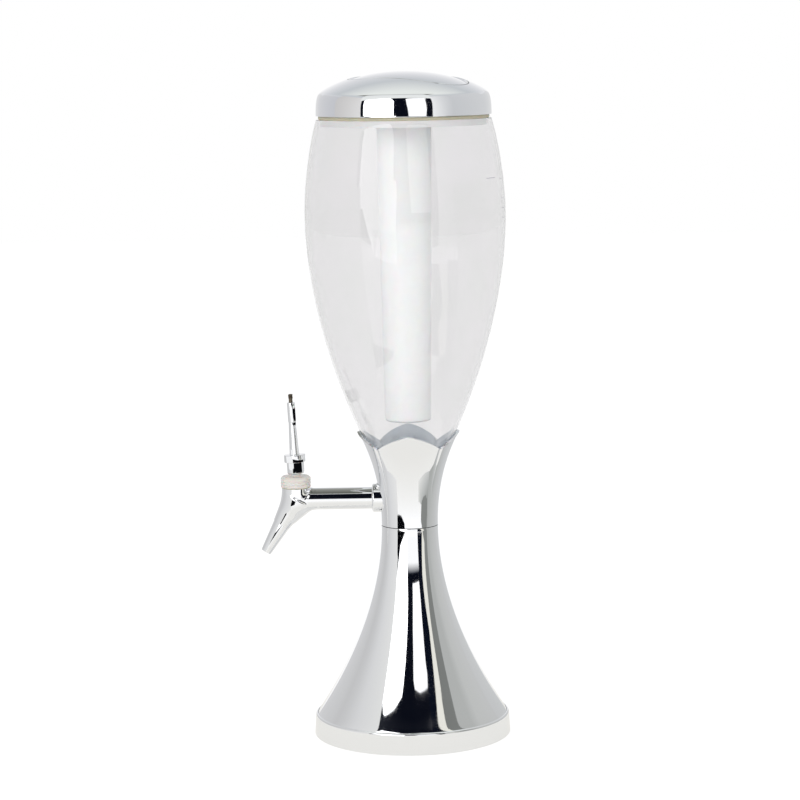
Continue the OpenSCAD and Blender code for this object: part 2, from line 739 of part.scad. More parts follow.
module bonnet() color("#ece8e6") on_valve(0) difference() {
    rotate_extrude() polygon(concat(
        [
            [0, chamber_z - skirt_h], [chamber_bore_r - skirt_gap, chamber_z - skirt_h],
            [chamber_bore_r - skirt_gap, bonnet_z], [bonnet_r, bonnet_z]
        ],
        groove(bonnet_z + 0.17 * bonnet_h), groove(bonnet_z + 0.45 * bonnet_h),
        [
            [bonnet_r, bonnet_z + bonnet_h - bonnet_bevel], [bonnet_r - bonnet_bevel, bonnet_z + bonnet_h],
            [gland_r, bonnet_z + bonnet_h], [gland_r, gland_z], [0, gland_z]
        ]
    ));
    translate([0, 0, chamber_z - skirt_h - eps])
        cylinder(h = skirt_h + spring_room_h + eps, r = spring_room_r);
    translate([0, 0, spring_top_z - eps]) cylinder(h = 2 * bonnet_h, r = stem_r + stem_gap);
    translate([0, 0, seal_z]) cylinder(h = seal_t, r = seal_out_r);
}

module stem_seal() color("#26272a") on_valve(0) rotate_extrude()
    translate([(stem_r + stem_gap + seal_out_r) / 2, seal_z + seal_t / 2])
        circle(r = (seal_out_r - stem_r - stem_gap) / 2 - seat_touch / 2, $fn = 32);

module valve_stem() color("#c6c8ca") on_valve(0) difference() {
    union() {
        translate([0, 0, seat_z + plug_sole]) cylinder(h = tongue_z - seat_z - plug_sole, r = stem_r);
        translate([0, 0, seat_z + plug_h]) cylinder(h = spring_seat_t, r = spring_seat_r);
        intersection() {
            union() {
                translate([0, 0, tongue_z - eps]) cylinder(h = pin_z - tongue_z, r = stem_r);
                translate([0, 0, pin_z]) rotate([90, 0, 0])
                    cylinder(h = 2 * stem_r, r = stem_r, center = true);
            }
            translate([0, 0, tongue_z]) cube([4 * stem_r, tongue_t, 20 * stem_r], center = true);
        }
    }
    translate([0, 0, pin_z]) rotate([90, 0, 0])
        cylinder(h = 4 * stem_r, r = pin_r + pin_gap, center = true);
}

module valve_plug() color("#e6e2da") on_valve(seat_z) difference() {
    cylinder(h = plug_h - seat_touch, r = plug_r);
    translate([0, 0, plug_sole - seat_touch]) cylinder(h = plug_h, r = stem_r + seat_touch);
}

// One unbroken wire, swept along a helix
module valve_spring() color("#b9bbbd") on_valve(0) {
    per_turn = 12;
    sides = 6;
    low = spring_low_z + wire_r + eps;
    rise = spring_top_z - wire_r - eps - low;
    count = per_turn * spring_turns;
    centres = [for (i = [0:count]) let (a = 360 * i / per_turn)
        [spring_r * cos(a), spring_r * sin(a), low + rise * i / count]];
    points = [for (i = [0:count]) let (a = 360 * i / per_turn)
        for (k = [0:sides - 1]) let (b = 360 * k / sides)
            centres[i] + wire_r * [cos(b) * cos(a), cos(b) * sin(a), sin(b)]];
    faces = concat(
        [[for (k = [0:sides - 1]) k]],
        [for (i = [0:count - 1]) for (k = [0:sides - 1]) let (m = (k + 1) % sides)
            for (f = [
                [i * sides + k, (i + 1) * sides + k, (i + 1) * sides + m],
                [i * sides + k, (i + 1) * sides + m, i * sides + m]
            ]) f],
        [[for (k = [sides - 1:-1:0]) count * sides + k]]
    );
    polyhedron(points, faces);
}

// Lever
module lever() color("#d2d4d6") difference() {
    on_lever(0) rotate_extrude() polygon(concat(
        [[0, -pin_rise]],
        arc([lever_foot_r - foot_round, foot_round - pin_rise], foot_round, -90, 0),
        [
            [lever_foot_r, rim_low], [lever_rim_r, rim_low], [lever_rim_r, rim_high],
            [lever_root_r, rim_high], [lever_tip_r, ferrule_low], [core_r, ferrule_low],
            [core_r, core_h], [0, core_h]
        ]
    ));
    on_lever(slot_top - 2 * lever_rim_r) translate([-2 * lever_rim_r, -tongue_t / 2 - slot_gap, 0])
        cube([4 * lever_rim_r, tongue_t + 2 * slot_gap, 2 * lever_rim_r]);
    on_lever(0) rotate([90, 0, 0]) cylinder(h = 4 * lever_rim_r, r = pin_r + seat_touch, center = true);
    on_lever(ferrule_low + stud_root) cylinder(h = ferrule_len, r = stud_neck_r + ferrule_gap);
}

module lever_pin() color("#aeb0b2") on_lever(0) rotate([90, 0, 0])
    cylinder(h = 2 * lever_foot_r - 1, r = pin_r, center = true);

module handle_ferrule() color("#d2d4d6") on_lever(ferrule_low + seat_touch)
    tube(ferrule_r, core_r + ferrule_gap, ferrule_len - seat_touch);

module handle_stud() color("#8b8177") on_lever(0) {
    translate([0, 0, ferrule_low + stud_root + fit])
        cylinder(h = ferrule_len - stud_root + stud_neck_len, r = stud_neck_r);
    translate([0, 0, ferrule_low + ferrule_len + stud_neck_len]) cylinder(h = stud_len, r = stud_r);
}

// Lid
function lid_inner(d) = clear_of_axis(moved(lid_line, -d));
function panel_rim(a) = panel_r + panel_shift * cos(a + 15) + panel_oval * cos(2 * a + 96)
    + panel_lobe * cos(3 * a + 118);

module lid_shell() color("#d6d8da") difference() {
    union() {
        difference() {
            rotate_extrude() polygon(concat([[0, lid_z]], lid_line));
            rotate_extrude() polygon(concat(
                [[0, lid_z - 1], [lid_r - lid_wall, lid_z - 1]], lid_inner(lid_wall)
            ));
        }
        intersection() {
            ring_of(lid_screw_n, lid_screw_pcr, 45)
                translate([0, 0, lid_z + liner_t]) cylinder(h = 2 * dome_h, r = lid_boss_r);
            rotate_extrude() polygon(concat([[0, lid_z]], lid_inner(lid_wall / 2)));
        }
    }
    ring_of(lid_screw_n, lid_screw_pcr, 45)
        translate([0, 0, lid_z + liner_t - eps])
            cylinder(h = lid_screw_len - 1, r = lid_screw_r + seat_touch);
    difference() {
        translate([0, 0, lid_z]) linear_extrude(height = 2 * (lid_top_z - lid_z))
            polygon([for (a = [0:10:350]) panel_rim(a) * [cos(a), sin(a)]]);
        rotate_extrude() polygon(concat([[0, lid_z - 1], [lid_r, lid_z - 1]], lid_inner(panel_depth)));
    }
}

module lid_liner() color("#eceae4", 0.8) difference() {
    union() {
        translate([0, 0, lid_z]) cylinder(h = liner_t, r = lid_r - lid_wall - liner_gap);
        translate([0, 0, lid_z - band_h - plug_ring_h])
            tube(plug_ring_r, plug_ring_r - plug_ring_wall, band_h + plug_ring_h + eps);
    }
    translate([0, 0, lid_z - eps]) cylinder(h = liner_t + 2 * eps, r = socket_out_r + seat_touch);
    ring_of(lid_screw_n, lid_screw_pcr, 45)
        translate([0, 0, lid_z - eps]) cylinder(h = liner_t + 1, r = lid_screw_r + screw_gap);
}

module lid_screws() color("#a9abad") ring_of(lid_screw_n, lid_screw_pcr, 45) {
    translate([0, 0, lid_z - lid_head_h - seat_touch]) cylinder(h = lid_head_h, r = lid_head_r);
    translate([0, 0, lid_z - 1]) cylinder(h = lid_screw_len, r = lid_screw_r);
}

module lid_gasket() color("#e9e2cc") translate([0, 0, band_z + seat_touch])
    tube(mouth_r - band_inset, plug_ring_r + seat_touch, band_h - 2 * seat_touch);

// Ice tube
module tube_socket() color("#e6e4de", 0.8) difference() {
    union() {
        translate([0, 0, lid_z]) cylinder(h = socket_h + liner_t, r = socket_out_r);
        translate([0, 0, lid_z + liner_t + seat_touch])
            cylinder(h = socket_flange_t, r = socket_out_r + socket_flange);
    }
    translate([0, 0, lid_z - eps]) cylinder(h = socket_h + eps, r = socket_r);
    translate([0, 0, lid_z + lug_low - lug_gap])
        cylinder(h = lug_h + 2 * lug_gap, r = tube_neck_r + lug_out + lug_gap);
    ring_of(lug_n, tube_neck_r - 3, lug_turn)
        translate([0, -lug_w / 2 - 2 * lug_gap, lid_z - eps])
            cube([3 + lug_out + lug_gap, lug_w + 4 * lug_gap, lug_low]);
}

module ice_tube() color("#f2f3f3", 0.85) difference() {
    foot = lid_z - tube_len;
    union() {
        rotate_extrude() polygon(concat(
            [[0, foot]],
            arc([tube_foot_r - tube_round, foot + tube_round], tube_round, -90, 0),
            [
                [tube_top_r, lid_z - tube_step], [tube_neck_r, lid_z - fit],
                [tube_neck_r, lid_z + tube_neck_h], [0, lid_z + tube_neck_h]
            ]
        ));
        ring_of(lug_n, tube_neck_r - 2) translate([0, -lug_w / 2, lid_z + lug_low])
            cube([2 + lug_out, lug_w, lug_h]);
    }
    rotate_extrude() polygon([
        [0, foot + tube_wall], [tube_foot_r - tube_wall, foot + tube_wall],
        [tube_top_r - tube_wall, lid_z - tube_step], [tube_top_r - tube_wall, lid_z + tube_neck_h + 1],
        [0, lid_z + tube_neck_h + 1]
    ]);
}

module tube_seal() color("#dcd8cc") translate([0, 0, lid_z + tube_neck_h + seat_touch])
    tube(tube_neck_r - fit, tube_top_r - tube_wall + screw_gap, tube_seal_t);

base_pad();
base_plate();
base_screws();
ballast_weight();
base_ring();
pedestal();
neck_coupling();
neck_gasket();
collar();
tank_gasket();
tank();
tap_body();
tap_flange();
tap_washer();
tap_locknut();
spout_nozzle();
bonnet_gasket();
bonnet();
stem_seal();
valve_stem();
valve_plug();
valve_spring();
lever();
lever_pin();
handle_ferrule();
handle_stud();
lid_shell();
lid_liner();
lid_screws();
lid_gasket();
tube_socket();
ice_tube();
tube_seal();
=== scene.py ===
"""Table-top beer tower: a vase-shaped clear tank on a flared chrome-plated pedestal.

A domed lid carries an ice tube and lifts off, and a lever tap stands out on one side.
Sizes in the classes are millimetres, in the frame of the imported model.
"""

from __future__ import annotations

import logging
import math
from bisect import bisect_right
from collections.abc import Callable, Sequence
from dataclasses import dataclass
from enum import Enum

import bmesh
import bpy
import numpy as np
from bmesh.types import BMesh
from mathutils import Matrix, Vector

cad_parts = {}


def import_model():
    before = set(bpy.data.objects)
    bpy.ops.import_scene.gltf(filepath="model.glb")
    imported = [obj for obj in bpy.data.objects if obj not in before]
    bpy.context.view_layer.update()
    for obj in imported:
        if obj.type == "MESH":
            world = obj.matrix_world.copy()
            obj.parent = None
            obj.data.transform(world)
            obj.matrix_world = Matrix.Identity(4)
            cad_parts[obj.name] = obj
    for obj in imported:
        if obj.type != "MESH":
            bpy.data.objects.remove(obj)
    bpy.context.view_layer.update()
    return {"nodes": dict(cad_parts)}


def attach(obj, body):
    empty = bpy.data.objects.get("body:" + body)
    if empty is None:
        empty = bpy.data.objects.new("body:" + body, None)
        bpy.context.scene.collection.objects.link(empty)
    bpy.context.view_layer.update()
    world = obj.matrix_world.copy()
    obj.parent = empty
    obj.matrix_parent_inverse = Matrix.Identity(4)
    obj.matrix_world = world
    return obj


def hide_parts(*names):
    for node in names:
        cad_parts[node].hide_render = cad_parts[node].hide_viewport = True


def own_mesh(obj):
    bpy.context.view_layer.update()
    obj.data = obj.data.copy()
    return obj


LOG = logging.getLogger("beer_tower")
MM = 0.001
SAME_PLACE = 2e-6  # vertices nearer than this are one, in metres
NO_LENGTH = 1e-7  # an edge shorter than this is none, in metres
CREASE = 38.0  # edges sharper than this stay sharp, in degrees
Point = tuple[float, float]
Triple = tuple[float, float, float]


class Body(Enum):
    """The moving bodies of the tower."""

    TOWER = "tower"
    STEM = "stem"
    LEVER = "lever"
    LID = "lid"
    ICE_TUBE = "ice_tube"


# ---------------------------------------------------------------- outlines


def bezier(ends: Sequence[Point], count: int) -> list[Point]:
    """Points along a cubic curve.

    Args:
        ends: The start, the two pulls and the end, as radius and height.
        count: Number of straight pieces.

    Returns:
        The points, both ends included.
    """
    a, b, c, d = ends
    line = []
    for i in range(count + 1):
        t = i / count
        w = ((1 - t) ** 3, 3 * (1 - t) ** 2 * t, 3 * (1 - t) * t * t, t**3)
        line.append(tuple(w[0] * a[k] + w[1] * b[k] + w[2] * c[k] + w[3] * d[k] for k in (0, 1)))
    return line


def shifted(line: Sequence[Point], distance: float) -> list[Point]:
    """Moves an outline sideways, to its right as it runs upwards when distance is positive.

    Args:
        line: The outline.
        distance: How far it moves.

    Returns:
        The moved outline.
    """
    moved = []
    for i, (x, y) in enumerate(line):
        p, q = line[max(i - 1, 0)], line[min(i + 1, len(line) - 1)]
        dx, dy = q[0] - p[0], q[1] - p[1]
        n = math.hypot(dx, dy) or 1.0
        moved.append((max(0.0, x + distance * dy / n), y - distance * dx / n))
    return moved


def softened(line: Sequence[Point], radius: float, closed: bool = False, turn: float = 25.0) -> list[Point]:
    """Rounds every corner of an outline that turns by more than a small angle.

    Args:
        line: The outline.
        radius: How much of each side a rounded corner takes.
        closed: Whether the outline is a loop.
        turn: Corners flatter than this stay, in degrees.

    Returns:
        The outline with four points for each rounded corner.
    """
    count, soft = len(line), []
    for i, p in enumerate(line):
        if not closed and i in (0, count - 1):
            soft.append(p)
            continue
        here, before, after = Vector(p), Vector(line[i - 1]), Vector(line[(i + 1) % count])
        a, b = before - here, after - here
        if a.length < 1e-9 or b.length < 1e-9 or 180 - math.degrees(a.angle(b)) < turn:
            soft.append(p)
            continue
        start = here + a.normalized() * min(radius, a.length * 0.4)
        end = here + b.normalized() * min(radius, b.length * 0.4)
        for t in (0.0, 0.33, 0.67, 1.0):
            mid = start * (1 - t) ** 2 + here * (2 * t * (1 - t)) + end * t * t
            soft.append((mid.x, mid.y))
    return soft


def rounded_foot(radius: float, height: float, rounding: float, step: int) -> list[Point]:
    """A quarter round that leads from an underside up to a side.

    Args:
        radius: The side's radius.
        height: The underside's height.
        rounding: The radius of the rounding.
        step: Degrees from one point to the next.

    Returns:
        The points, both ends included.
    """
    turns = [math.radians(a) for a in range(0, 91, step)]
    return [(radius - rounding * (1 - math.sin(a)), height + rounding * (1 - math.cos(a))) for a in turns]


def finer(line: Sequence[Point], longest: float) -> list[Point]:
    """Adds points so that no piece of an outline is longer than a given length.

    Args:
        line: The outline.
        longest: The longest piece allowed.

    Returns:
        The outline with the added points.
    """
    fine = [line[0]]
    for (x0, y0), (x1, y1) in zip(line, line[1:]):
        parts = max(1, math.ceil(math.hypot(x1 - x0, y1 - y0) / longest))
        fine += [(x0 + (x1 - x0) * k / parts, y0 + (y1 - y0) * k / parts) for k in range(1, parts + 1)]
    return fine


class Curve:
    """An outline read as a function: the radius at a height, or the height at a radius."""

    def __init__(self, pairs: Sequence[Point]) -> None:
        """Keeps the pairs of key and value, sorted by key."""
        self.pairs = sorted(pairs)
        self.keys = [k for k, _ in self.pairs]

    def at(self, key: float) -> float:
        """The value at a key, straight between the known pairs."""
        i = min(max(bisect_right(self.keys, key), 1), len(self.keys) - 1)
        (k0, v0), (k1, v1) = self.pairs[i - 1], self.pairs[i]
        share = min(1.0, max(0.0, (key - k0) / ((k1 - k0) or 1.0)))
        return v0 + (v1 - v0) * share


# ---------------------------------------------------------------- meshes


def turned(line: Sequence[Point], segments: int, place: Matrix | None = None, closed: bool = False) -> BMesh:
    """Turns an outline of radius and height about the Z axis.

    Args:
        line: The outline. An open one starts and ends on the axis, or stays open there.
        segments: Number of steps round the axis.
        place: Where the turned shape goes, in metres.
        closed: Whether the outline is a loop.

    Returns:
        The turned mesh, in metres, with its faces outwards.
    """
    bm = bmesh.new()
    verts = [bm.verts.new((r * MM, 0.0, z * MM)) for r, z in line]
    edges = [bm.edges.new(pair) for pair in zip(verts, verts[1:])]
    if closed:
        edges.append(bm.edges.new((verts[-1], verts[0])))
    bmesh.ops.spin(
        bm, geom=verts + edges, cent=(0, 0, 0), axis=(0, 0, 1), angle=math.tau, steps=segments, use_merge=True
    )
    clean(bm)
    if place is not None:
        bm.transform(place)
    return bm


def clean(bm: BMesh) -> None:
    """Merges doubled vertices and turns all faces outwards."""
    bmesh.ops.remove_doubles(bm, verts=bm.verts, dist=SAME_PLACE)
    bmesh.ops.dissolve_degenerate(bm, edges=bm.edges, dist=NO_LENGTH)
    bmesh.ops.recalc_face_normals(bm, faces=bm.faces)


def joined(first: BMesh, *others: BMesh) -> BMesh:
    """Puts further meshes into the first one.

    Args:
        first: The mesh that takes the others in.
        others: The meshes to add, which are freed.

    Returns:
        The first mesh.
    """
    for bm in others:
        mesh = bpy.data.meshes.new("joining")
        bm.to_mesh(mesh)
        bm.free()
        first.from_mesh(mesh)
        bpy.data.meshes.remove(mesh)
    return first


def block(low: Triple, high: Triple) -> BMesh:
    """A block between two corners in millimetres."""
    bm = bmesh.new()
    bmesh.ops.create_cube(bm, size=1.0)
    size = [(h - l) * MM for l, h in zip(low, high)]
    middle = [(h + l) / 2 * MM for l, h in zip(low, high)]
    bm.transform(Matrix.Translation(middle) @ Matrix.Diagonal((*size, 1.0)))
    return bm


def rod(radius: float, low: float, high: float, place: Matrix, segments: int = 64, far: float | None = None) -> BMesh:
    """A round rod or cone.

    Args:
        radius: Its radius at the low end, in millimetres.
        low: Where it starts along its axis.
        high: Where it ends along its axis.
        place: Where its axis goes, in metres.
        segments: Number of sides.
        far: Its radius at the high end, if that differs.

    Returns:
        The rod as a closed mesh.
    """
    bm = bmesh.new()
    bmesh.ops.create_cone(
        bm,
        cap_ends=True,
        segments=segments,
        radius1=radius * MM,
        radius2=(radius if far is None else far) * MM,
        depth=(high - low) * MM,
        matrix=place @ Matrix.Translation((0, 0, (low + high) / 2 * MM)),
    )
    return bm


def as_object(name: str, bm: BMesh) -> bpy.types.Object:
    """Makes an object of a mesh, links it and frees the mesh."""
    mesh = bpy.data.meshes.new(name)
    bm.to_mesh(mesh)
    bm.free()
    obj = bpy.data.objects.new(name, mesh)
    bpy.context.scene.collection.objects.link(obj)
    return obj


def applied(bm: BMesh, settings: Callable[[bpy.types.Object], list[bpy.types.Object]]) -> BMesh:
    """Runs modifiers on a mesh and reads the result back.

    Args:
        bm: The mesh, which is freed.
        settings: Adds the modifiers to the object and returns the helper objects they use.

    Returns:
        The finished mesh.
    """
    obj = as_object("working", bm)
    helpers = settings(obj)
    bpy.context.view_layer.update()
    done = obj.evaluated_get(bpy.context.evaluated_depsgraph_get())
    mesh = bpy.data.meshes.new_from_object(done)
    result = bmesh.new()
    result.from_mesh(mesh)
    bpy.data.meshes.remove(mesh)
    for helper in [obj, *helpers]:
        old = helper.data
        bpy.data.objects.remove(helper)
        bpy.data.meshes.remove(old)
    return result


def without(bm: BMesh, *cutters: BMesh) -> BMesh:
    """Cuts meshes out of a mesh.

    Args:
        bm: The mesh that is cut.
        cutters: The meshes to take away, all freed.

    Returns:
        The cut mesh.
    """

    def settings(obj: bpy.types.Object) -> list[bpy.types.Object]:
        """Adds one exact boolean for each cutter."""
        helpers = []
        for cutter in cutters:
            helper = as_object("cutter", cutter)
            boolean = obj.modifiers.new("cut", "BOOLEAN")
            boolean.operation = "DIFFERENCE"
            boolean.solver = "EXACT"
            boolean.object = helper
            helpers.append(helper)
        return helpers

    return applied(bm, settings)


def coil(section: BMesh, turns: float, rise: float, steps: int) -> BMesh:
    """Winds a section of wire or thread about the Z axis.

    Args:
        section: The closed section, standing in the XZ plane beside the axis.
        turns: Number of turns.
        rise: How far it climbs in all, in millimetres.
        steps: Steps in each turn.

    Returns:
        The closed coil.
    """
    count = max(1, round(turns * steps))
    edges = list(section.edges)
    bmesh.ops.spin(
        section,
        geom=list(section.verts) + edges,
        cent=(0, 0, 0),
        axis=(0, 0, 1),
        dvec=(0, 0, rise * MM / count),
        angle=math.tau * turns,
        steps=count,
    )
    bmesh.ops.remove_doubles(section, verts=section.verts, dist=NO_LENGTH)
    bmesh.ops.holes_fill(section, edges=[e for e in section.edges if e.is_boundary])
    bmesh.ops.recalc_face_normals(section, faces=section.faces)
    return section


# ---------------------------------------------------------------- finishes


def hex_linear(value: str) -> tuple[float, float, float, float]:
    """Turns an sRGB hex colour into the linear colour that a shader takes."""
    parts = [int(value[i : i + 2], 16) / 255 for i in (1, 3, 5)]
    return (*((c / 12.92 if c <= 0.04045 else ((c + 0.055) / 1.055) ** 2.4) for c in parts), 1.0)


def per_metre(size_mm: float) -> float:
    """The scale of a pattern on Object coordinates, from the real size of one feature."""
    return 1.0 / (size_mm * MM)


def add_node(
    tree: bpy.types.NodeTree, kind: str, settings: dict | None = None, links: dict | None = None
) -> bpy.types.Node:
    """Adds a node to a tree.

    Args:
        tree: The node tree.
        kind: Blender's name of the node's kind.
        settings: Values, by the name of a property or by the name or number of an input.
        links: Sockets that feed this node, by the name or number of its input.

    Returns:
        The new node.
    """
    node = tree.nodes.new(kind)
    for key, value in (settings or {}).items():
        if isinstance(key, str) and hasattr(node, key):
            setattr(node, key, value)
        else:
            node.inputs[key].default_value = value
    for key, socket in (links or {}).items():
        tree.links.new(socket, node.inputs[key])
    return node


@dataclass(frozen=True)
class Finish:
    """A finish with a grain in its roughness and a fine relief, on Object coordinates."""

    name: str
    colour: str
    second: str = ""  # colour of the faint clouds, if the base colour has any
    roughness: Point = (0.3, 0.4)
    metallic: float = 0.0
    grain_mm: float = 1.0  # size of one cloud in colour and roughness
    relief_mm: float = 0.3  # size of one bump
    relief_depth_mm: float = 0.01
    stretch: Triple = (1.0, 1.0, 1.0)  # how the grain is squeezed along X, Y and Z
    ior: float | None = None
    transmission: float = 0.0
    subsurface: float = 0.0
    scatter_mm: float = 1.0

    def build(self) -> bpy.types.Material:
        """Makes the material once, and finds it again later."""
        if self.name in bpy.data.materials:
            return bpy.data.materials[self.name]
        material = bpy.data.materials.new(self.name)
        material.use_nodes = True
        tree = material.node_tree
        shader = next(n for n in tree.nodes if n.type == "BSDF_PRINCIPLED")
        shader.inputs["Base Color"].default_value = hex_linear(self.colour)
        shader.inputs["Metallic"].default_value = self.metallic
        if self.ior is not None:
            shader.inputs["IOR"].default_value = self.ior
        shader.inputs["Transmission Weight"].default_value = self.transmission
        shader.inputs["Subsurface Weight"].default_value = self.subsurface
        shader.inputs["Subsurface Scale"].default_value = self.scatter_mm * MM
        where = add_node(tree, "ShaderNodeTexCoord")
        squeezed = add_node(tree, "ShaderNodeMapping", {"Scale": self.stretch}, {"Vector": where.outputs["Object"]})
        grain = add_node(
            tree,
            "ShaderNodeTexNoise",
            {"Scale": per_metre(self.grain_mm), "Detail": 4.0, "Roughness": 0.55},
            {"Vector": squeezed.outputs["Vector"]},
        )
        rough = add_node(
            tree,
            "ShaderNodeMapRange",
            {"From Min": 0.3, "From Max": 0.7, "To Min": self.roughness[0], "To Max": self.roughness[1]},
            {"Value": grain.outputs["Fac"]},
        )
        tree.links.new(rough.outputs["Result"], shader.inputs["Roughness"])
        if self.second:
            ramp = add_node(tree, "ShaderNodeValToRGB", None, {"Fac": grain.outputs["Fac"]})
            ramp.color_ramp.elements[0].position = 0.35
            ramp.color_ramp.elements[0].color = hex_linear(self.colour)
            ramp.color_ramp.elements[1].position = 0.65
            ramp.color_ramp.elements[1].color = hex_linear(self.second)
            tree.links.new(ramp.outputs["Color"], shader.inputs["Base Color"])
        relief = add_node(
            tree,
            "ShaderNodeTexNoise",
            {"Scale": per_metre(self.relief_mm), "Detail": 2.0},
            {"Vector": squeezed.outputs["Vector"]},
        )
        bump = add_node(
            tree,
            "ShaderNodeBump",
            {"Strength": 1.0, "Distance": self.relief_depth_mm * MM},
            {"Height": relief.outputs["Fac"]},
        )
        tree.links.new(bump.outputs["Normal"], shader.inputs["Normal"])
        return material


# Chrome plate on moulded ABS: a mirror with faint wipe marks and the long soft waves of the moulding.
CHROME_PLATE = Finish(
    "chrome_plated_abs", "#F1F2F4", roughness=(0.025, 0.06), metallic=1.0, grain_mm=14.0, relief_mm=9.0,
    relief_depth_mm=0.0015,
)
# Blown clear polycarbonate: polished, faintly grey through both walls, with slow waves in its wall.
CLEAR_POLYCARBONATE = Finish(
    "clear_blown_polycarbonate", "#F1F0F1", second="#EFEFEF", roughness=(0.0, 0.012), grain_mm=40.0, relief_mm=45.0,
    relief_depth_mm=0.004, ior=1.585, transmission=1.0,
)
# Painted shade in the groove round the lid's panel: dark grey dull chrome on the groove's faces stands in for the
# groove's shadow.
GROOVE_PAINTED_SHADE = Finish(
    "groove_painted_shade_chrome", "#4C4F52", second="#585B5E", roughness=(0.25, 0.35), metallic=1.0, grain_mm=2.0,
    relief_mm=0.4, relief_depth_mm=0.004,
)
# The collar's inside: satin, where the plating is thin and the mould wasn't polished, so it blurs what it mirrors; its
# pale blue-grey colour and low metallic add painted light that stands in for bright reflections.
INNER_CHROME_PAINTED_LIGHT = Finish(
    "satin_chrome_inside_painted_light", "#DDE5EC", second="#D6DFE7", roughness=(0.3, 0.38), metallic=0.4, grain_mm=6.0,
    relief_mm=0.8, relief_depth_mm=0.003,
)
# Frosted polypropylene: the light goes a little way in, and the mould's matte skin spreads the gloss.
FROSTED_POLYPROPYLENE = Finish(
    "frosted_polypropylene", "#F0F0F0", second="#EDEDED", roughness=(0.36, 0.44), grain_mm=6.0, relief_mm=0.5,
    relief_depth_mm=0.004, ior=1.49, subsurface=0.2, scatter_mm=3.0,
)
# Natural polypropylene: greyer than the frosted tube and a little waxy.
NATURAL_POLYPROPYLENE = Finish(
    "natural_polypropylene", "#DCDCDC", second="#D8D8D9", roughness=(0.34, 0.42), grain_mm=6.0, relief_mm=0.6,
    relief_depth_mm=0.004, ior=1.49, subsurface=0.15, scatter_mm=2.0,
)
# Milky moulded nylon: pale, slightly pink, and light goes a little way in at its edges.
MILKY_NYLON = Finish(
    "milky_moulded_nylon", "#D7D3CD", second="#D1CCC6", roughness=(0.22, 0.32), grain_mm=5.0, relief_mm=0.7,
    relief_depth_mm=0.006, ior=1.53, subsurface=0.25, scatter_mm=2.0,
)
# Cream silicone, darkened to a painted shade for the shadow gap under the lid: a soft matte skin with a little dust in
# it.
CREAM_SILICONE_PAINTED_SHADE = Finish(
    "cream_silicone_rubber_painted_shade", "#B5B09A", second="#ADA891", roughness=(0.5, 0.62), grain_mm=2.0, relief_mm=0.4,
    relief_depth_mm=0.012, ior=1.43, subsurface=0.2, scatter_mm=1.5,
)
# Black nitrile rubber: near black, dull, finely pitted.
BLACK_RUBBER = Finish(
    "black_nitrile_rubber", "#17181A", second="#1F2022", roughness=(0.6, 0.75), grain_mm=1.5, relief_mm=0.3,
    relief_depth_mm=0.015, ior=1.5,
)
# Spark-eroded black ABS: an even fine texture from the mould.
TEXTURED_ABS = Finish(
    "spark_textured_black_abs", "#232426", second="#292A2C", roughness=(0.5, 0.62), grain_mm=3.0, relief_mm=0.35,
    relief_depth_mm=0.03, ior=1.54,
)
# Sand-cast grey iron: dark, rough and slightly brown where it has begun to rust.
CAST_IRON = Finish(
    "sand_cast_grey_iron", "#4B4C4E", second="#5A5048", roughness=(0.55, 0.75), metallic=0.85, grain_mm=4.0,
    relief_mm=0.9, relief_depth_mm=0.08,
)
# Glass-filled nylon: pale grey with faint flow marks along the moulding.
FILLED_NYLON = Finish(
    "glass_filled_nylon", "#CFCFCC", second="#C4C4C1", roughness=(0.4, 0.55), grain_mm=2.0, relief_mm=0.5,
    relief_depth_mm=0.02, stretch=(1.0, 1.0, 0.3), ior=1.53,
)
# Turned stainless steel: fine rings left by the tool, drawn coarse enough to show.
TURNED_STAINLESS = Finish(
    "turned_stainless_steel", "#C9CACC", roughness=(0.18, 0.3), metallic=1.0, grain_mm=0.8, relief_mm=0.4,
    relief_depth_mm=0.006, stretch=(0.3, 0.3, 1.6),
)
# Drawn spring wire: bright grey with a faint brown bloom from its heat treatment.
SPRING_WIRE = Finish(
    "drawn_spring_wire", "#B7B4AE", second="#A8A197", roughness=(0.22, 0.34), metallic=1.0, grain_mm=0.7,
    relief_mm=0.25, relief_depth_mm=0.005,
)
# Dull plated brass: grey-brown, the plating worn through on the thread's crests.
DULL_BRASS = Finish(
    "dull_plated_brass", "#5E5850", second="#7C7060", roughness=(0.35, 0.5), metallic=1.0, grain_mm=0.5,
    relief_mm=0.3, relief_depth_mm=0.01,
)
# Screen-printed ink: a thin matte grey-violet film, slightly uneven.
SCREEN_INK = Finish(
    "screen_printed_ink", "#A5A3B2", second="#B2B0BC", roughness=(0.5, 0.6), grain_mm=0.6, relief_mm=0.3,
    relief_depth_mm=0.004, ior=1.5,
)


# ---------------------------------------------------------------- pieces


def add_piece(
    name: str,
    bm: BMesh,
    finish: Finish,
    body: Body,
    stands_for: Sequence[str] = (),
    crease: float = CREASE,
) -> bpy.types.Object:
    """Makes a finished piece that rides on a body.

    Args:
        name: The piece's name.
        bm: Its mesh, which is freed.
        finish: Its finish.
        body: The body it moves with.
        stands_for: CAD nodes that it replaces.
        crease: Edges sharper than this stay sharp, in degrees.

    Returns:
        The new object.
    """
    limit = math.radians(crease)
    for face in bm.faces:
        face.smooth = True
    for edge in bm.edges:
        edge.smooth = edge.calc_face_angle(0.0) < limit
    bm.normal_update()
    triangles = sum(len(f.verts) - 2 for f in bm.faces)
    obj = as_object(name, bm)
    obj.data.materials.append(finish.build())
    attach(obj, body.value)
    if stands_for:
        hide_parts(*stands_for)
    LOG.info("piece %s: %d triangles, %s, rides on %s", name, triangles, finish.name, body.value)
    return obj


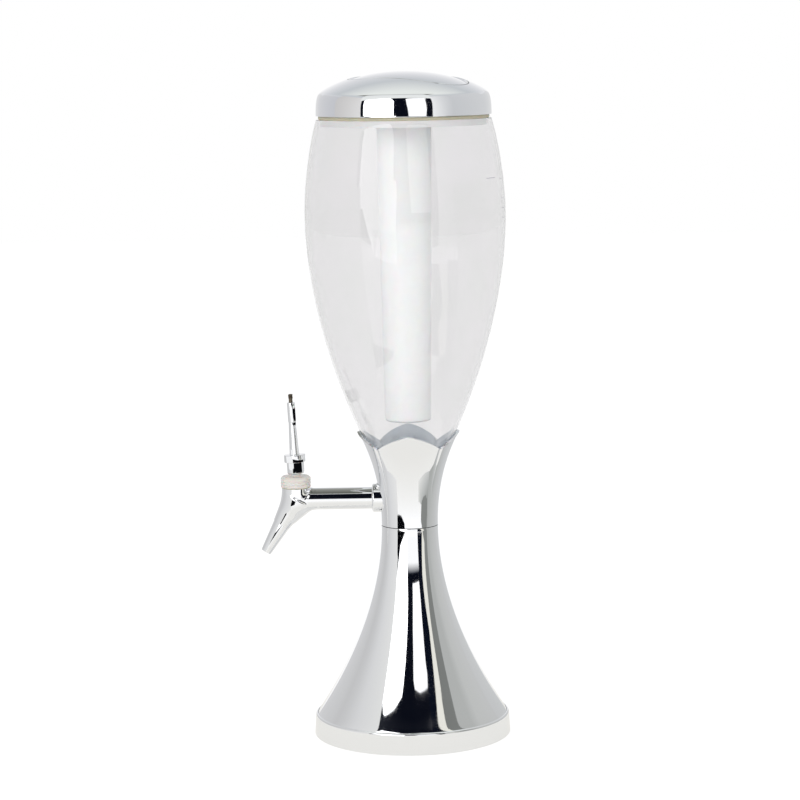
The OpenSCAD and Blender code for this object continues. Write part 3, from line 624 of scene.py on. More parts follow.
def add_plated(node: str, bm: BMesh, body: Body = Body.TOWER, crease: float = CREASE) -> bpy.types.Object:
    """Makes a chrome-plated piece that replaces one CAD node.

    Args:
        node: The CAD node, whose name the piece's name starts with.
        bm: The piece's mesh, which is freed.
        body: The body it moves with.
        crease: Edges sharper than this stay sharp, in degrees.

    Returns:
        The new object.
    """
    return add_piece(f"{node}_plated", bm, CHROME_PLATE, body, [node], crease)


def finish_faces(obj: bpy.types.Object, finish: Finish, chosen: Callable[[bpy.types.MeshPolygon], bool]) -> None:
    """Gives some faces of a piece a second finish.

    Args:
        obj: The piece.
        finish: The second finish.
        chosen: Tells whether a face takes it.
    """
    obj.data.materials.append(finish.build())
    for face in obj.data.polygons:
        if chosen(face):
            face.material_index = 1


def four_spots(radius: float) -> list[Matrix]:
    """Four upright places on a circle about the tower, between the axes, from the circle's radius."""
    reach = Matrix.Translation((radius * MM, 0, 0))
    return [Matrix.Rotation(math.radians(45 + 90 * k), 4, "Z") @ reach for k in range(4)]


@dataclass
class Pedestal:
    """The flared foot: the ring at the table and the trumpet above it."""

    base_r: float = 88.0
    ring_top_r: float = 86.9
    ring_in_r: float = 84.9
    ring_low: float = 0.6
    ring_high: float = 20.0
    ring_lip: float = 2.0
    ring_bevel: float = 0.5
    shelf_in_r: float = 76.9
    shelf_low: float = 6.0
    shelf_high: float = 8.5
    foot_r: float = 84.8
    foot_z: float = 19.5
    waist_r: float = 25.7
    waist_z: float = 189.6
    flare: Point = (3.3, 6.6)  # how far the outline is pulled in and up at its foot
    waist_pull: float = 88.0  # how far the outline is pulled down at its waist
    wall: float = 2.4
    boss_r: float = 4.5
    boss_pcr: float = 71.0
    boss_high: float = 40.5

    def line(self, count: int = 110) -> list[Point]:
        """The trumpet's outer outline, from its foot up to the waist."""
        pulls = (
            (self.foot_r - self.flare[0], self.foot_z + self.flare[1]),
            (self.waist_r, self.waist_z - self.waist_pull),
        )
        return bezier([(self.foot_r, self.foot_z), *pulls, (self.waist_r, self.waist_z)], count)

    def ring_mesh(self) -> BMesh:
        """The base ring, with a rounded lip and the shelf inside."""
        lip = [
            (
                self.ring_top_r - self.ring_lip * (1 - math.cos(math.radians(a))),
                self.ring_high - self.ring_lip * (1 - math.sin(math.radians(a))),
            )
            for a in range(0, 91, 9)
        ]
        side = [(self.base_r, self.ring_low + self.ring_bevel), (self.ring_top_r, self.ring_high - self.ring_lip)]
        loop = [
            (self.ring_in_r, self.ring_low), (self.base_r - self.ring_bevel, self.ring_low),
            *finer(side, 2.5), *lip[1:], (self.ring_in_r, self.ring_high - 1), (self.ring_in_r, self.shelf_high),
            (self.shelf_in_r, self.shelf_high), (self.shelf_in_r, self.shelf_low), (self.ring_in_r, self.shelf_low),
        ]
        return turned(softened(loop, 0.25, closed=True), 256, closed=True)

    def trumpet_mesh(self) -> BMesh:
        """The trumpet with its wall, its straight foot inside the ring, and the screw bosses."""
        skin = [(self.foot_r, self.shelf_high), *self.line()]
        inner = shifted([(self.foot_r, self.shelf_high), *self.line(48)], -self.wall)
        loop = [*skin, (self.waist_r - self.wall, self.waist_z), *reversed(inner)]
        bm = turned(softened(loop, 0.2, closed=True, turn=50), 256, closed=True)
        under = Curve([(r, z) for r, z in inner if z > self.foot_z])
        bosses = []
        for spot in four_spots(self.boss_pcr):
            boss = rod(self.boss_r, self.shelf_low, self.boss_high, spot, 32)
            for v in boss.verts:  # the boss's top leans with the skin above it
                v.co.z = min(v.co.z, (under.at(math.hypot(v.co.x, v.co.y) / MM) + 0.5) * MM)
            bosses.append(boss)
        return joined(bm, *bosses)

    def build(self) -> None:
        """Adds the ring and the trumpet."""
        add_plated("base_ring", self.ring_mesh())
        add_plated("pedestal", self.trumpet_mesh())


@dataclass
class Collar:
    """The tulip-shaped collar with four petals, parted by fine creases."""

    foot_z: float = 190.2
    waist_r: float = 25.7
    tip_r: float = 45.6
    tip_z: float = 274.0
    valley_drop: float = 13.2
    petal_power: float = 1.25
    crease_depth: float = 0.9
    crease_foot_z: float = 214.8
    crease_reach: float = 1.1  # how far the petal's edge leans in beside a crease
    crowding: float = 0.86  # how closely the columns stand at the creases
    waist_pull: float = 49.5  # how far the outline is pulled up at its waist
    tip_pull: float = 9.4  # how far the outline is pulled down at its tips
    tip_slope: float = 0.3  # how steeply it ends there, radius over height
    wall: float = 2.0
    floor: float = 3.0
    hole_r: float = 17.2
    shank_z: float = 214.0
    shank_r: float = 8.15
    rows: int = 84
    columns: int = 256

    def __post_init__(self) -> None:
        """Reads the outline as radius by height."""
        pulls = (
            (self.waist_r, self.foot_z + self.waist_pull),
            (self.tip_r - self.tip_slope * self.tip_pull, self.tip_z - self.tip_pull),
        )
        line = bezier([(self.waist_r, self.foot_z), *pulls, (self.tip_r, self.tip_z)], 200)
        self.radius = Curve([(z, r) for r, z in line])

    def rim(self, turn: float) -> float:
        """The rim's height at a turn from a petal's middle, in degrees."""
        return self.tip_z - self.valley_drop * (abs(turn) / 45) ** self.petal_power

    def shape(self, bm: BMesh) -> None:
        """Moves a turned skin to the petals' rim and sinks its creases.

        Args:
            bm: The skin, whose rows run from the foot up to the tips.
        """
        for v in bm.verts:
            angle = math.atan2(v.co.y, v.co.x)
            angle += self.crowding * math.sin(4 * angle) / 4
            turn = (math.degrees(angle) + 45) % 90 - 45
            share = (v.co.z / MM - self.foot_z) / (self.tip_z - self.foot_z)
            z = self.foot_z + share * (self.rim(turn) - self.foot_z)
            r = self.radius.at(z)
            beside = math.radians(45 - abs(turn)) * r
            sink = max(0.0, (z - self.crease_foot_z) / (self.tip_z - self.valley_drop - self.crease_foot_z))
            r -= self.crease_depth * min(1.0, sink) * math.exp(-beside / self.crease_reach)
            v.co = (r * math.cos(angle) * MM, r * math.sin(angle) * MM, z * MM)

    def mesh(self) -> BMesh:
        """The collar's skin with petals, its wall, its floor and the hole for the tap."""
        step = (self.tip_z - self.foot_z) / self.rows
        skin = turned([(self.waist_r, self.foot_z + i * step) for i in range(self.rows + 1)], self.columns)
        self.shape(skin)
        bmesh.ops.recalc_face_normals(skin, faces=skin.faces)
        outward = sum(f.normal.x * f.calc_center_median().x for f in skin.faces)
        if outward < 0:
            bmesh.ops.reverse_faces(skin, faces=skin.faces)
        bmesh.ops.solidify(skin, geom=skin.faces[:], thickness=self.wall * MM)
        bmesh.ops.recalc_face_normals(skin, faces=skin.faces)
        disc = [
            (self.hole_r, self.foot_z), (self.waist_r - self.wall / 2, self.foot_z),
            (self.waist_r - self.wall / 2, self.foot_z + self.floor), (self.hole_r, self.foot_z + self.floor),
        ]
        whole = joined(skin, turned(softened(disc, 0.2, closed=True), 128, closed=True))
        hole = rod(self.shank_r, 15, 40, towards_tap(self.shank_z))
        return without(whole, hole)

    def build(self) -> None:
        """Adds the collar, satin with painted light on its inside."""
        # The inside faces take a paler, half-metal chrome as painted light.
        finish_faces(add_plated("collar", self.mesh(), crease=28), INNER_CHROME_PAINTED_LIGHT, self.is_inside_painted_light)

    def is_inside_painted_light(self, face: bpy.types.MeshPolygon) -> bool:
        """Whether a face of the collar is on its inside, above the floor, and turned to the axis, where the light is
        painted.
        """
        at = face.center
        inwards = -(face.normal.x * at.x + face.normal.y * at.y)
        return at.z > (self.foot_z + 2 * self.floor) * MM and inwards > 0.5 * math.hypot(at.x, at.y)


def towards_tap(height: float) -> Matrix:
    """A place whose Z axis starts on the tower's axis at a height and runs to -X."""
    return Matrix.Translation((0, 0, height * MM)) @ Matrix.Rotation(math.radians(-90), 4, "Y")


@dataclass
class Tank:
    """The vase-shaped tank with its thick neck, its spigot and a plain printed scale."""

    floor_z: float = 194.4
    neck_r: float = 22.8
    neck_top: float = 216.0
    neck_in_r: float = 19.8
    inside_z: float = 198.0
    rim: Point = (44.3, 276.5)  # where the tank leaves the collar, as radius and height
    belly: Point = (88.55, 466.0)
    mouth: Point = (76.7, 550.5)
    spigot_r: float = 17.0
    spigot_in_r: float = 13.0
    spigot_z: float = 170.4
    wall: float = 2.6
    seat_x: float = 15.6
    seat_top: float = 226.0
    tap_z: float = 214.0
    tap_hole_r: float = 8.15
    segments: int = 256

    def line(self) -> list[Point]:
        """The outer outline from the neck up to the mouth."""
        low = bezier([(self.neck_r, self.neck_top), (self.neck_r, 232.0), (31.9, 248.5), self.rim], 30)
        middle = bezier([self.rim, (67.93, 329.9), (self.belly[0], 399.1), self.belly], 52)
        top = bezier([self.belly, (self.belly[0], 504.5), (79.0, 546.7), self.mouth], 30)
        return low + middle[1:] + top[1:]

    def mesh(self) -> BMesh:
        """The tank's closed wall, the flat seat for the tap's washer and the tap's hole."""
        outer = self.line()
        inner = shifted(outer, -self.wall)
        inner[-1] = (outer[-1][0] - self.wall, self.mouth[1])
        inner = [p for p in inner[1:] if p[0] > self.neck_in_r]
        loop = [
            (0.0, self.floor_z), (self.spigot_in_r, self.floor_z), (self.spigot_in_r, self.spigot_z),
            (self.spigot_r, self.spigot_z), (self.spigot_r, self.floor_z), (self.neck_r, self.floor_z),
            *finer([(self.neck_r, self.floor_z + 1), outer[0]], 2.0), *outer[1:],
            *reversed(inner), *finer([(self.neck_in_r, self.neck_top), (self.neck_in_r, self.inside_z + 1)], 1.5),
            (self.neck_in_r, self.inside_z), (0.0, self.inside_z),
        ]
        bm = turned(softened(loop, 0.5, turn=40), self.segments)
        for v in bm.verts:
            inside = math.hypot(v.co.x, v.co.y) < (self.neck_r - 1.4) * MM and v.co.z > (self.inside_z + 0.2) * MM
            if inside and v.co.z < self.seat_top * MM:
                v.co.x = max(v.co.x, -self.seat_x * MM)
        return without(bm, rod(self.tap_hole_r, 5, 46, towards_tap(self.tap_z)))

    def scale_mesh(self) -> BMesh:
        """A plain scale of one long tick and five short ones, laid on the tank's right side."""
        radius = Curve([(z, r) for r, z in self.line()])
        ticks = [(499.6, -35.5, 9.5), *((498.0 - 8.5 * k, -16.5, 3.5) for k in range(5))]  # height, start and degrees
        marks = []
        for z, start, reach in ticks:
            tick = bmesh.new()
            bmesh.ops.create_grid(tick, x_segments=10, y_segments=1, size=0.5)
            for v in tick.verts:
                turn = math.radians(start + (v.co.x + 0.5) * reach)
                height = z + v.co.y * 0.5
                r = radius.at(height) - 0.015
                v.co = (r * math.cos(turn) * MM, r * math.sin(turn) * MM, height * MM)
            marks.append(tick)
        bm = joined(marks[0], *marks[1:])
        bmesh.ops.solidify(bm, geom=bm.faces[:], thickness=0.06 * MM)
        bmesh.ops.recalc_face_normals(bm, faces=bm.faces)
        return bm

    def build(self) -> None:
        """Adds the tank and the printed scale."""
        tank = add_piece("tank_clear", self.mesh(), CLEAR_POLYCARBONATE, Body.TOWER, ["tank"], crease=50)
        tank.visible_shadow = tank.visible_diffuse = False  # light passes the clear wall to the tube inside
        add_piece("fill_scale_print", self.scale_mesh(), SCREEN_INK, Body.TOWER)


@dataclass
class IceTube:
    """The frosted tube for ice, closed at its foot, with three bayonet lugs on its neck."""

    foot_z: float = 284.0
    foot_r: float = 20.4
    top_r: float = 24.2
    top_z: float = 552.4
    neck_r: float = 26.0
    neck_z: float = 567.6
    wall: float = 1.8
    round_r: float = 2.5
    lug_out: float = 2.4
    lug_low: float = 560.0
    lug_high: float = 563.6
    lug_half: float = 4.0

    def mesh(self) -> BMesh:
        """The tube and its lugs."""
        foot = rounded_foot(self.foot_r, self.foot_z, self.round_r, 10)
        side = finer([foot[-1], (self.top_r, self.top_z)], 12)
        inside = finer([(self.top_r - self.wall, self.top_z), (self.foot_r - self.wall, self.foot_z + self.wall)], 12)
        loop = [
            (0.0, self.foot_z), *foot[:-1], *side, (self.neck_r, self.top_z + 1.1), (self.neck_r, self.neck_z),
            (self.top_r - self.wall, self.neck_z), *inside, (0.0, self.foot_z + self.wall),
        ]
        bm = turned(softened(loop, 0.4, turn=35), 128)
        lugs = []
        low = (self.neck_r - 1.0, -self.lug_half, self.lug_low)
        high = (self.neck_r + self.lug_out, self.lug_half, self.lug_high)
        for k in range(3):
            lug = block(low, high)
            bmesh.ops.bevel(
                lug, geom=lug.edges[:], offset=0.5 * MM, segments=2, profile=0.5, affect="EDGES", material=-1
            )
            lug.transform(Matrix.Rotation(math.radians(120 * k), 4, "Z"))
            lugs.append(lug)
        return joined(bm, *lugs)

    def build(self) -> None:
        """Adds the tube."""
        add_piece("ice_tube_frosted", self.mesh(), FROSTED_POLYPROPYLENE, Body.ICE_TUBE, ["ice_tube"])


@dataclass
class Lid:
    """The domed lid with a panel let into its top, and the gasket under it."""

    low_z: float = 553.6
    side_r: float = 77.35
    shoulder_r: float = 74.3
    shoulder_z: float = 573.0
    top_z: float = 592.6
    wall: float = 2.2
    liner_room: float = 8.0  # height of the straight inner wall round the liner
    boss_r: float = 3.6
    boss_pcr: float = 56.0
    boss_low: float = 556.2
    boss_high: float = 578.0
    panel_r: float = 50.2
    panel_depth: float = 0.9
    step_w: float = 2.4  # width of the panel's step with the groove outside it
    groove_w: float = 1.3
    groove_d: float = 0.8
    panel_flat: float = 0.8  # how much deeper the panel lies at its rim than a parallel skin would
    gasket_z: float = 550.5
    gasket_r: float = 74.9
    gasket_in_r: float = 73.42

    def panel_rim(self, turn: float) -> float:
        """The panel's radius at an angle round the lid, in radians."""
        shift = 5.4 * math.cos(turn + math.radians(15))
        oval = 2.7 * math.cos(2 * turn + math.radians(96))
        return self.panel_r + shift + oval + 5.0 * math.cos(3 * turn + math.radians(118))

    def sink(self, inwards: float) -> float:
        """How deep the skin lies under the dome, at a distance inwards from the panel's outer lip."""
        if inwards <= 0:
            return 0.0
        if inwards < self.groove_w:
            return self.groove_d * (1 - abs(2 * inwards / self.groove_w - 1))
        t = min(1.0, (inwards - self.groove_w) / (self.step_w - self.groove_w))
        flat_by = self.panel_flat * math.exp(-max(0.0, inwards - self.step_w) / 8.0)
        return (self.panel_depth + flat_by) * t * t * (3 - 2 * t)

    def side_line(self) -> list[Point]:
        """The side's outline up to the shoulder."""
        start, end = (self.side_r, self.low_z), (self.shoulder_r, self.shoulder_z)
        return bezier([start, (self.side_r, self.low_z + 9.9), (76.6, 570.2), end], 30)

    def dome_line(self) -> list[Point]:
        """The dome's outline from the shoulder to the middle."""
        return bezier([(self.shoulder_r, self.shoulder_z), (72.4, 575.4), (46.0, self.top_z), (0.0, self.top_z)], 200)

    def mesh(self) -> BMesh:
        """The shell: side, dome with the panel's step, inner wall and screw bosses."""
        height = Curve(self.dome_line())
        half = self.step_w / 2
        outside = [self.shoulder_r - (self.shoulder_r - self.panel_r - half) * (i / 34) ** 0.9 for i in range(1, 35)]
        across = [self.panel_r + half - self.step_w * i / 16 for i in range(1, 17)]
        within = [(self.panel_r - half) * (1 - i / 40) for i in range(1, 41)]
        loop = [*self.side_line(), *((r, height.at(r)) for r in (*outside, *across, *within))]
        inner_r = self.side_r - self.wall
        head = (inner_r, self.low_z + self.liner_room)
        bm = turned([*softened([head, (inner_r, self.low_z), *loop[:4]], 0.3), *loop[4:]], 256)
        for v in bm.verts:
            r, z = math.hypot(v.co.x, v.co.y) / MM, v.co.z / MM
            if z < self.shoulder_z + 0.05 or r > self.shoulder_r:
                continue
            turn = math.atan2(v.co.y, v.co.x)
            rim = self.panel_rim(turn)
            if r > self.panel_r + half:
                share = (self.shoulder_r - r) / (self.shoulder_r - self.panel_r - half)
                r = self.shoulder_r - share * (self.shoulder_r - rim - half)
            elif r > self.panel_r - half:
                r += rim - self.panel_r
            else:
                r *= (rim - half) / (self.panel_r - half)
            z = height.at(r) - self.sink(rim + half - r)
            v.co = (r * math.cos(turn) * MM, r * math.sin(turn) * MM, z * MM)
        lining = turned([head, *self.inner_line()], 128)
        bmesh.ops.reverse_faces(lining, faces=lining.faces)
        bosses = [rod(self.boss_r, self.boss_low, self.boss_high, spot, 24) for spot in four_spots(self.boss_pcr)]
        whole = joined(bm, lining, *bosses)
        bmesh.ops.remove_doubles(whole, verts=whole.verts, dist=SAME_PLACE)
        return whole

    def inner_line(self) -> list[Point]:
        """The shell's inner outline, from above the liner to the middle."""
        line = [*self.side_line()[12:], *self.dome_line()[8::8]]
        inside = []
        for i, (r, z) in enumerate(line[:-1]):
            dr, dz = line[i + 1][0] - r, line[i + 1][1] - z
            n = math.hypot(dr, dz)
            inside.append((max(0.0, r - self.wall * dz / n), z + self.wall * dr / n))
        return [*inside, (0.0, self.top_z - self.wall)]

    def is_groove_painted_shade(self, face: bpy.types.MeshPolygon) -> bool:
        """Whether a face of the shell lies in the groove round the panel, where the shade is painted."""
        at = face.center / MM
        inwards = self.panel_rim(math.atan2(at.y, at.x)) + self.step_w / 2 - math.hypot(at.x, at.y)
        return face.normal.z > 0 and at.z > self.shoulder_z + 4 and 0.1 < inwards < self.groove_w * 0.85

    def gasket_mesh(self) -> BMesh:
        """The gasket, its outer face slightly rounded by the lid's weight."""
        high = self.low_z - 0.03
        loop = [
            (self.gasket_in_r, self.gasket_z + 0.03), (self.gasket_r - 0.3, self.gasket_z + 0.03),
            (self.gasket_r + 0.1, self.gasket_z + 0.9), (self.gasket_r + 0.2, (self.gasket_z + high) / 2),
            (self.gasket_r + 0.1, high - 0.9), (self.gasket_r - 0.3, high), (self.gasket_in_r, high),
        ]
        return turned(softened(loop, 0.25, closed=True), 192, closed=True)

    def build(self) -> None:
        """Adds the shell, with painted shade in its groove, and the gasket, whose cream holds painted shade."""
        # The groove's faces take dark grey chrome as painted shade.
        finish_faces(add_plated("lid_shell", self.mesh(), Body.LID, crease=36), GROOVE_PAINTED_SHADE, self.is_groove_painted_shade)
        # The gasket's cream is darkened as painted shade for the gap under the lid.
        add_piece("lid_gasket_cream", self.gasket_mesh(), CREAM_SILICONE_PAINTED_SHADE, Body.LID, ["lid_gasket"])


@dataclass
class TapBody:
    """The plated casting: pipe, valve chamber, slanted spout and the web between them."""

    axis_z: float = 214.0
    valve_x: float = -101.0
    pipe_r: float = 9.75
    spare: float = 4.0  # length that the rough shape has beyond a cut
    shoulder_x: float = -33.3
    shank_r: float = 8.0
    shank_end_x: float = -7.5
    bore_r: float = 4.8
    bore_end: float = 24.0
    chamber_r: float = 12.6
    chamber_top: float = 224.4
    chamber_high: float = 16.0  # height of the rough chamber above the pipe's axis
    ball_z: float = 211.0
    spout_turn: float = 30.4
    spout_len: float = 54.7
    root_r: float = 12.2
    end_r: float = 8.2
    end_t: float = 25.8
    web_x: float = -86.0
    web_turn: float = 50.4
    web_r: float = 5.5
    web_len: float = 28.0
    fillet: float = 3.2
    web_fillet: float = 1.6  # the web's fillet, as a share of the others
    voxel: float = 0.62  # grain of the rough skin
    refits: int = 10  # times that the skin is drawn onto the soft shape
    nozzle_r: float = 7.8
    tip_r: float = 4.75
    outlet_r: float = 3.5
    outlet_len: float = 12.0
    plug_r: float = 6.2
    plug_bore_r: float = 4.9
    plug_len: float = 7.5
    flange_r: float = 12.8
    flange_hole: float = 8.15
    flange_back: float = 20.0  # distances from the tower's axis
    flange_middle: float = 26.6
    flange_fitted: float = 21.5  # the rear edge, up to here, follows the collar
    chamfer: float = 1.2

    def spout_place(self) -> Matrix:
        """A place whose Z axis starts at the valve and runs down the spout."""
        spot = Matrix.Translation((self.valve_x * MM, 0, self.axis_z * MM))
        return spot @ Matrix.Rotation(math.radians(180 + self.spout_turn), 4, "Y")

    def distance(self, p: np.ndarray) -> np.ndarray:
        """How far points lie outside the casting, with soft fillets where its parts meet.

        Args:
            p: Points in millimetres, one row each.

        Returns:
            One distance for each point, negative inside.
        """
        x, y, z = p[:, 0], p[:, 1], p[:, 2] - self.axis_z
        vx = x - self.valve_x
        pipe = np.maximum(np.hypot(y, z) - self.pipe_r, np.maximum(x - self.shoulder_x - self.spare, self.valve_x - x))
        drop = self.ball_z - self.axis_z
        wall = np.maximum(np.hypot(vx, y) - self.chamber_r, np.maximum(drop - z, z - self.chamber_high))
        ball = np.sqrt(vx**2 + y**2 + (z - drop) ** 2) - self.chamber_r
        chamber = np.where(z > drop, wall, ball)
        a = math.radians(self.spout_turn)
        t = -vx * math.sin(a) - z * math.cos(a)
        across = np.hypot(-vx * math.cos(a) + z * math.sin(a), y)
        slope = (self.end_r - self.root_r) / self.end_t
        cone = (across - self.root_r - slope * t) / math.hypot(1, slope)
        spout = np.maximum(cone, np.maximum(-t, t - self.end_t - self.spare))
        b = math.radians(self.web_turn)
        wx = x - self.web_x
        s = np.clip(-wx * math.sin(b) - z * math.cos(b), 0, self.web_len - self.web_r)
        web = np.sqrt((wx + s * math.sin(b)) ** 2 + y**2 + (z + s * math.cos(b)) ** 2) - self.web_r
        soft = pipe
        for other, k in ((chamber, self.fillet), (spout, self.fillet), (web, self.fillet * self.web_fillet)):
            h = np.clip(0.5 + 0.5 * (other - soft) / k, 0, 1)
            soft = other * (1 - h) + soft * h - k * h * (1 - h)
        return soft

    def slope_of(self, p: np.ndarray) -> np.ndarray:
        """The outward direction of the casting's skin near points, one unit row each."""
        eps = 0.02
        steps = [np.array(s) * eps for s in ((1.0, 0, 0), (0, 1.0, 0), (0, 0, 1.0))]
        g = np.stack([(self.distance(p + s) - self.distance(p - s)) / (2 * eps) for s in steps], axis=1)
        return g / np.maximum(np.linalg.norm(g, axis=1, keepdims=True), 1e-9)

    def body_mesh(self) -> BMesh:
        """The casting's skin: joined solids, remeshed, drawn onto the soft shape and cut flat at its ends."""
        spout, valve = self.spout_place(), Matrix.Translation((self.valve_x * MM, 0, 0))
        slope = (self.end_r - self.root_r) / self.end_t
        far = self.end_t + self.spare
        web = Matrix.Translation((self.web_x * MM, 0, self.axis_z * MM))
        web = web @ Matrix.Rotation(math.radians(180 + self.web_turn), 4, "Y")
        rough = joined(
            rod(self.pipe_r, -self.shoulder_x - self.spare, -self.valve_x, towards_tap(self.axis_z), 96),
            rod(self.chamber_r, self.ball_z, self.axis_z + self.chamber_high, valve, 96),
            rod(self.root_r, 0, far, spout, 96, far=self.root_r + slope * far),
            rod(self.web_r, 0, self.web_len, web, 48),
        )
        ball = bmesh.new()
        bmesh.ops.create_uvsphere(
            ball, u_segments=96, v_segments=48, radius=self.chamber_r * MM,
            matrix=valve @ Matrix.Translation((0, 0, self.ball_z * MM)),
        )

        def settings(obj: bpy.types.Object) -> list[bpy.types.Object]:
            """Joins the overlapping solids to one even skin."""
            remesh = obj.modifiers.new("skin", "REMESH")
            remesh.mode = "VOXEL"
            remesh.voxel_size = self.voxel * MM
            return []

        skin = applied(joined(rough, ball), settings)
        p = np.array([v.co for v in skin.verts]) / MM
        for _ in range(self.refits):
            p = p - self.slope_of(p) * self.distance(p)[:, None]
        for v, co in zip(skin.verts, p):
            v.co = co * MM
        ends = (
            (Vector((self.shoulder_x * MM, 0, 0)), Vector((1, 0, 0))),
            (Vector((0, 0, self.chamber_top * MM)), Vector((0, 0, 1))),
            (spout @ Vector((0, 0, self.end_t * MM)), spout.to_3x3() @ Vector((0, 0, 1))),
        )
        for point, normal in ends:
            bmesh.ops.bisect_plane(
                skin, geom=skin.verts[:] + skin.edges[:] + skin.faces[:], dist=1e-6, plane_co=point,
                plane_no=normal, clear_outer=True,
            )
            bmesh.ops.holes_fill(skin, edges=[e for e in skin.edges if e.is_boundary])
        bmesh.ops.recalc_face_normals(skin, faces=skin.faces)
        return skin

    def shank_mesh(self) -> BMesh:
        """The shank that passes the collar and the tank, with the open bore at its end."""
        end, deep, root = -self.shank_end_x, self.bore_end, -self.shoulder_x + 0.5
        loop = [
            (0.0, deep), (self.bore_r, deep), (self.bore_r, end), (self.shank_r, end), (self.shank_r, root),
            (0.0, root),
        ]
        return turned(softened(loop, 0.4), 64, towards_tap(self.axis_z))

    def nozzle_mesh(self) -> BMesh:
        """The tapered nozzle with its outlet bore and the plug that holds it in the spout."""
        t0, t1 = self.end_t, self.spout_len
        plug = t0 - self.plug_len
        loop = [
            (self.plug_bore_r, plug), (self.plug_r, plug), (self.plug_r, t0 + 0.02), (self.nozzle_r, t0 + 0.02),
            (self.tip_r, t1), (self.outlet_r, t1), (self.outlet_r, t1 - self.outlet_len), (self.plug_bore_r, t0 - 2.0),
        ]
        fine = softened(loop, 0.35, closed=True)
        return turned(fine, 96, self.spout_place(), closed=True)

    def flange_mesh(self, collar: Collar) -> BMesh:
        """The escutcheon, its rear edge fitted to the collar's curve.

        Args:
            collar: The collar that it lies on.

        Returns:
            The flange's mesh.
        """
        front, back, middle = -self.shoulder_x, self.flange_back, self.flange_middle
        edge = [(self.flange_r, middle), (self.flange_r, front - self.chamfer), (self.flange_r - self.chamfer, front)]
        lip = softened([*edge, (self.pipe_r - 0.6, front)], 0.35)
        bore = [(self.flange_hole, front - 0.4), (self.flange_hole, middle)]
        loop = [(self.flange_hole, back), (self.flange_r, back), *lip, *bore]
        bm = turned(loop, 128, towards_tap(self.axis_z), closed=True)
        for v in bm.verts:
            if v.co.x / MM > -self.flange_fitted:
                r = collar.radius.at(v.co.z / MM) + 0.02
                v.co.x = -math.sqrt(max(0.0, r * r - (v.co.y / MM) ** 2)) * MM
        return bm

    def build(self, collar: Collar) -> None:
        """Adds the casting, the flange and the nozzle.

        Args:
            collar: The collar that the flange lies on.
        """
        add_plated("tap_body", joined(self.body_mesh(), self.shank_mesh()), crease=48)
        add_plated("tap_flange", self.flange_mesh(collar))
        add_plated("spout_nozzle", self.nozzle_mesh())


@dataclass
class Valve:
    """The milky bonnet on the valve chamber, and the spring inside it."""

    x: float = -101.0
    low_z: float = 225.3
    height: float = 9.6
    radius: float = 13.4
    bevel: float = 1.6
    boss_r: float = 4.9
    boss_z: float = 237.0
    skirt_r: float = 9.5
    skirt_z: float = 219.4
    room_r: float = 6.8
    room_z: float = 228.4
    stem_r: float = 3.08
    seal_r: float = 4.7
    seal_z: Point = (229.8, 231.8)
    spring_r: float = 5.2
    wire_r: float = 0.55
    spring_z: Point = (214.1, 228.4)
    spring_turns: float = 5.0
    groove_depth: float = 0.4
    groove_width: float = 1.2

    def place(self) -> Matrix:
        """The valve's own axis."""
        return Matrix.Translation((self.x * MM, 0, 0))

    def groove(self, share: float) -> list[Point]:
        """One finger groove at a share of the bonnet's height."""
        z, deep = self.low_z + share * self.height, self.radius - self.groove_depth
        low, high = z + self.groove_depth, z + self.groove_width - self.groove_depth
        return [(self.radius, z), (deep, low), (deep, high), (self.radius, z + self.groove_width)]

    def bonnet_mesh(self) -> BMesh:
        """The bonnet with its grooves, boss, skirt and the rooms for spring and seal."""
        top = self.low_z + self.height
        loop = [
            (self.skirt_r, self.low_z), (self.radius, self.low_z), *self.groove(0.17), *self.groove(0.45),
            (self.radius, top - self.bevel), (self.radius - self.bevel, top), (self.boss_r, top),
            (self.boss_r, self.boss_z), (self.stem_r, self.boss_z), (self.stem_r, self.seal_z[1]),
            (self.seal_r, self.seal_z[1]), (self.seal_r, self.seal_z[0]), (self.stem_r, self.seal_z[0]),
            (self.stem_r, self.room_z), (self.room_r, self.room_z), (self.room_r, self.skirt_z),
            (self.skirt_r, self.skirt_z),
        ]
        return turned(softened(loop, 0.3, closed=True), 128, self.place(), closed=True)

    def spring_mesh(self) -> BMesh:
        """The wound spring."""
        low, high = self.spring_z[0] + self.wire_r, self.spring_z[1] - self.wire_r
        section = bmesh.new()
        bmesh.ops.create_circle(
            section, segments=16, radius=self.wire_r * MM,
            matrix=Matrix.Translation((self.spring_r * MM, 0, low * MM)) @ Matrix.Rotation(math.radians(90), 4, "X"),
        )
        bm = coil(section, self.spring_turns, high - low, 48)
        bm.transform(self.place())
        return bm

    def build(self) -> None:
        """Adds the bonnet and the spring, and gives the spring a mesh of its own."""
        add_piece("bonnet_milky", self.bonnet_mesh(), MILKY_NYLON, Body.TOWER, ["bonnet"])
        spring = add_piece(
            "valve_spring_wound", self.spring_mesh(), SPRING_WIRE, Body.TOWER, ["valve_spring"]
        )
        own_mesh(spring)


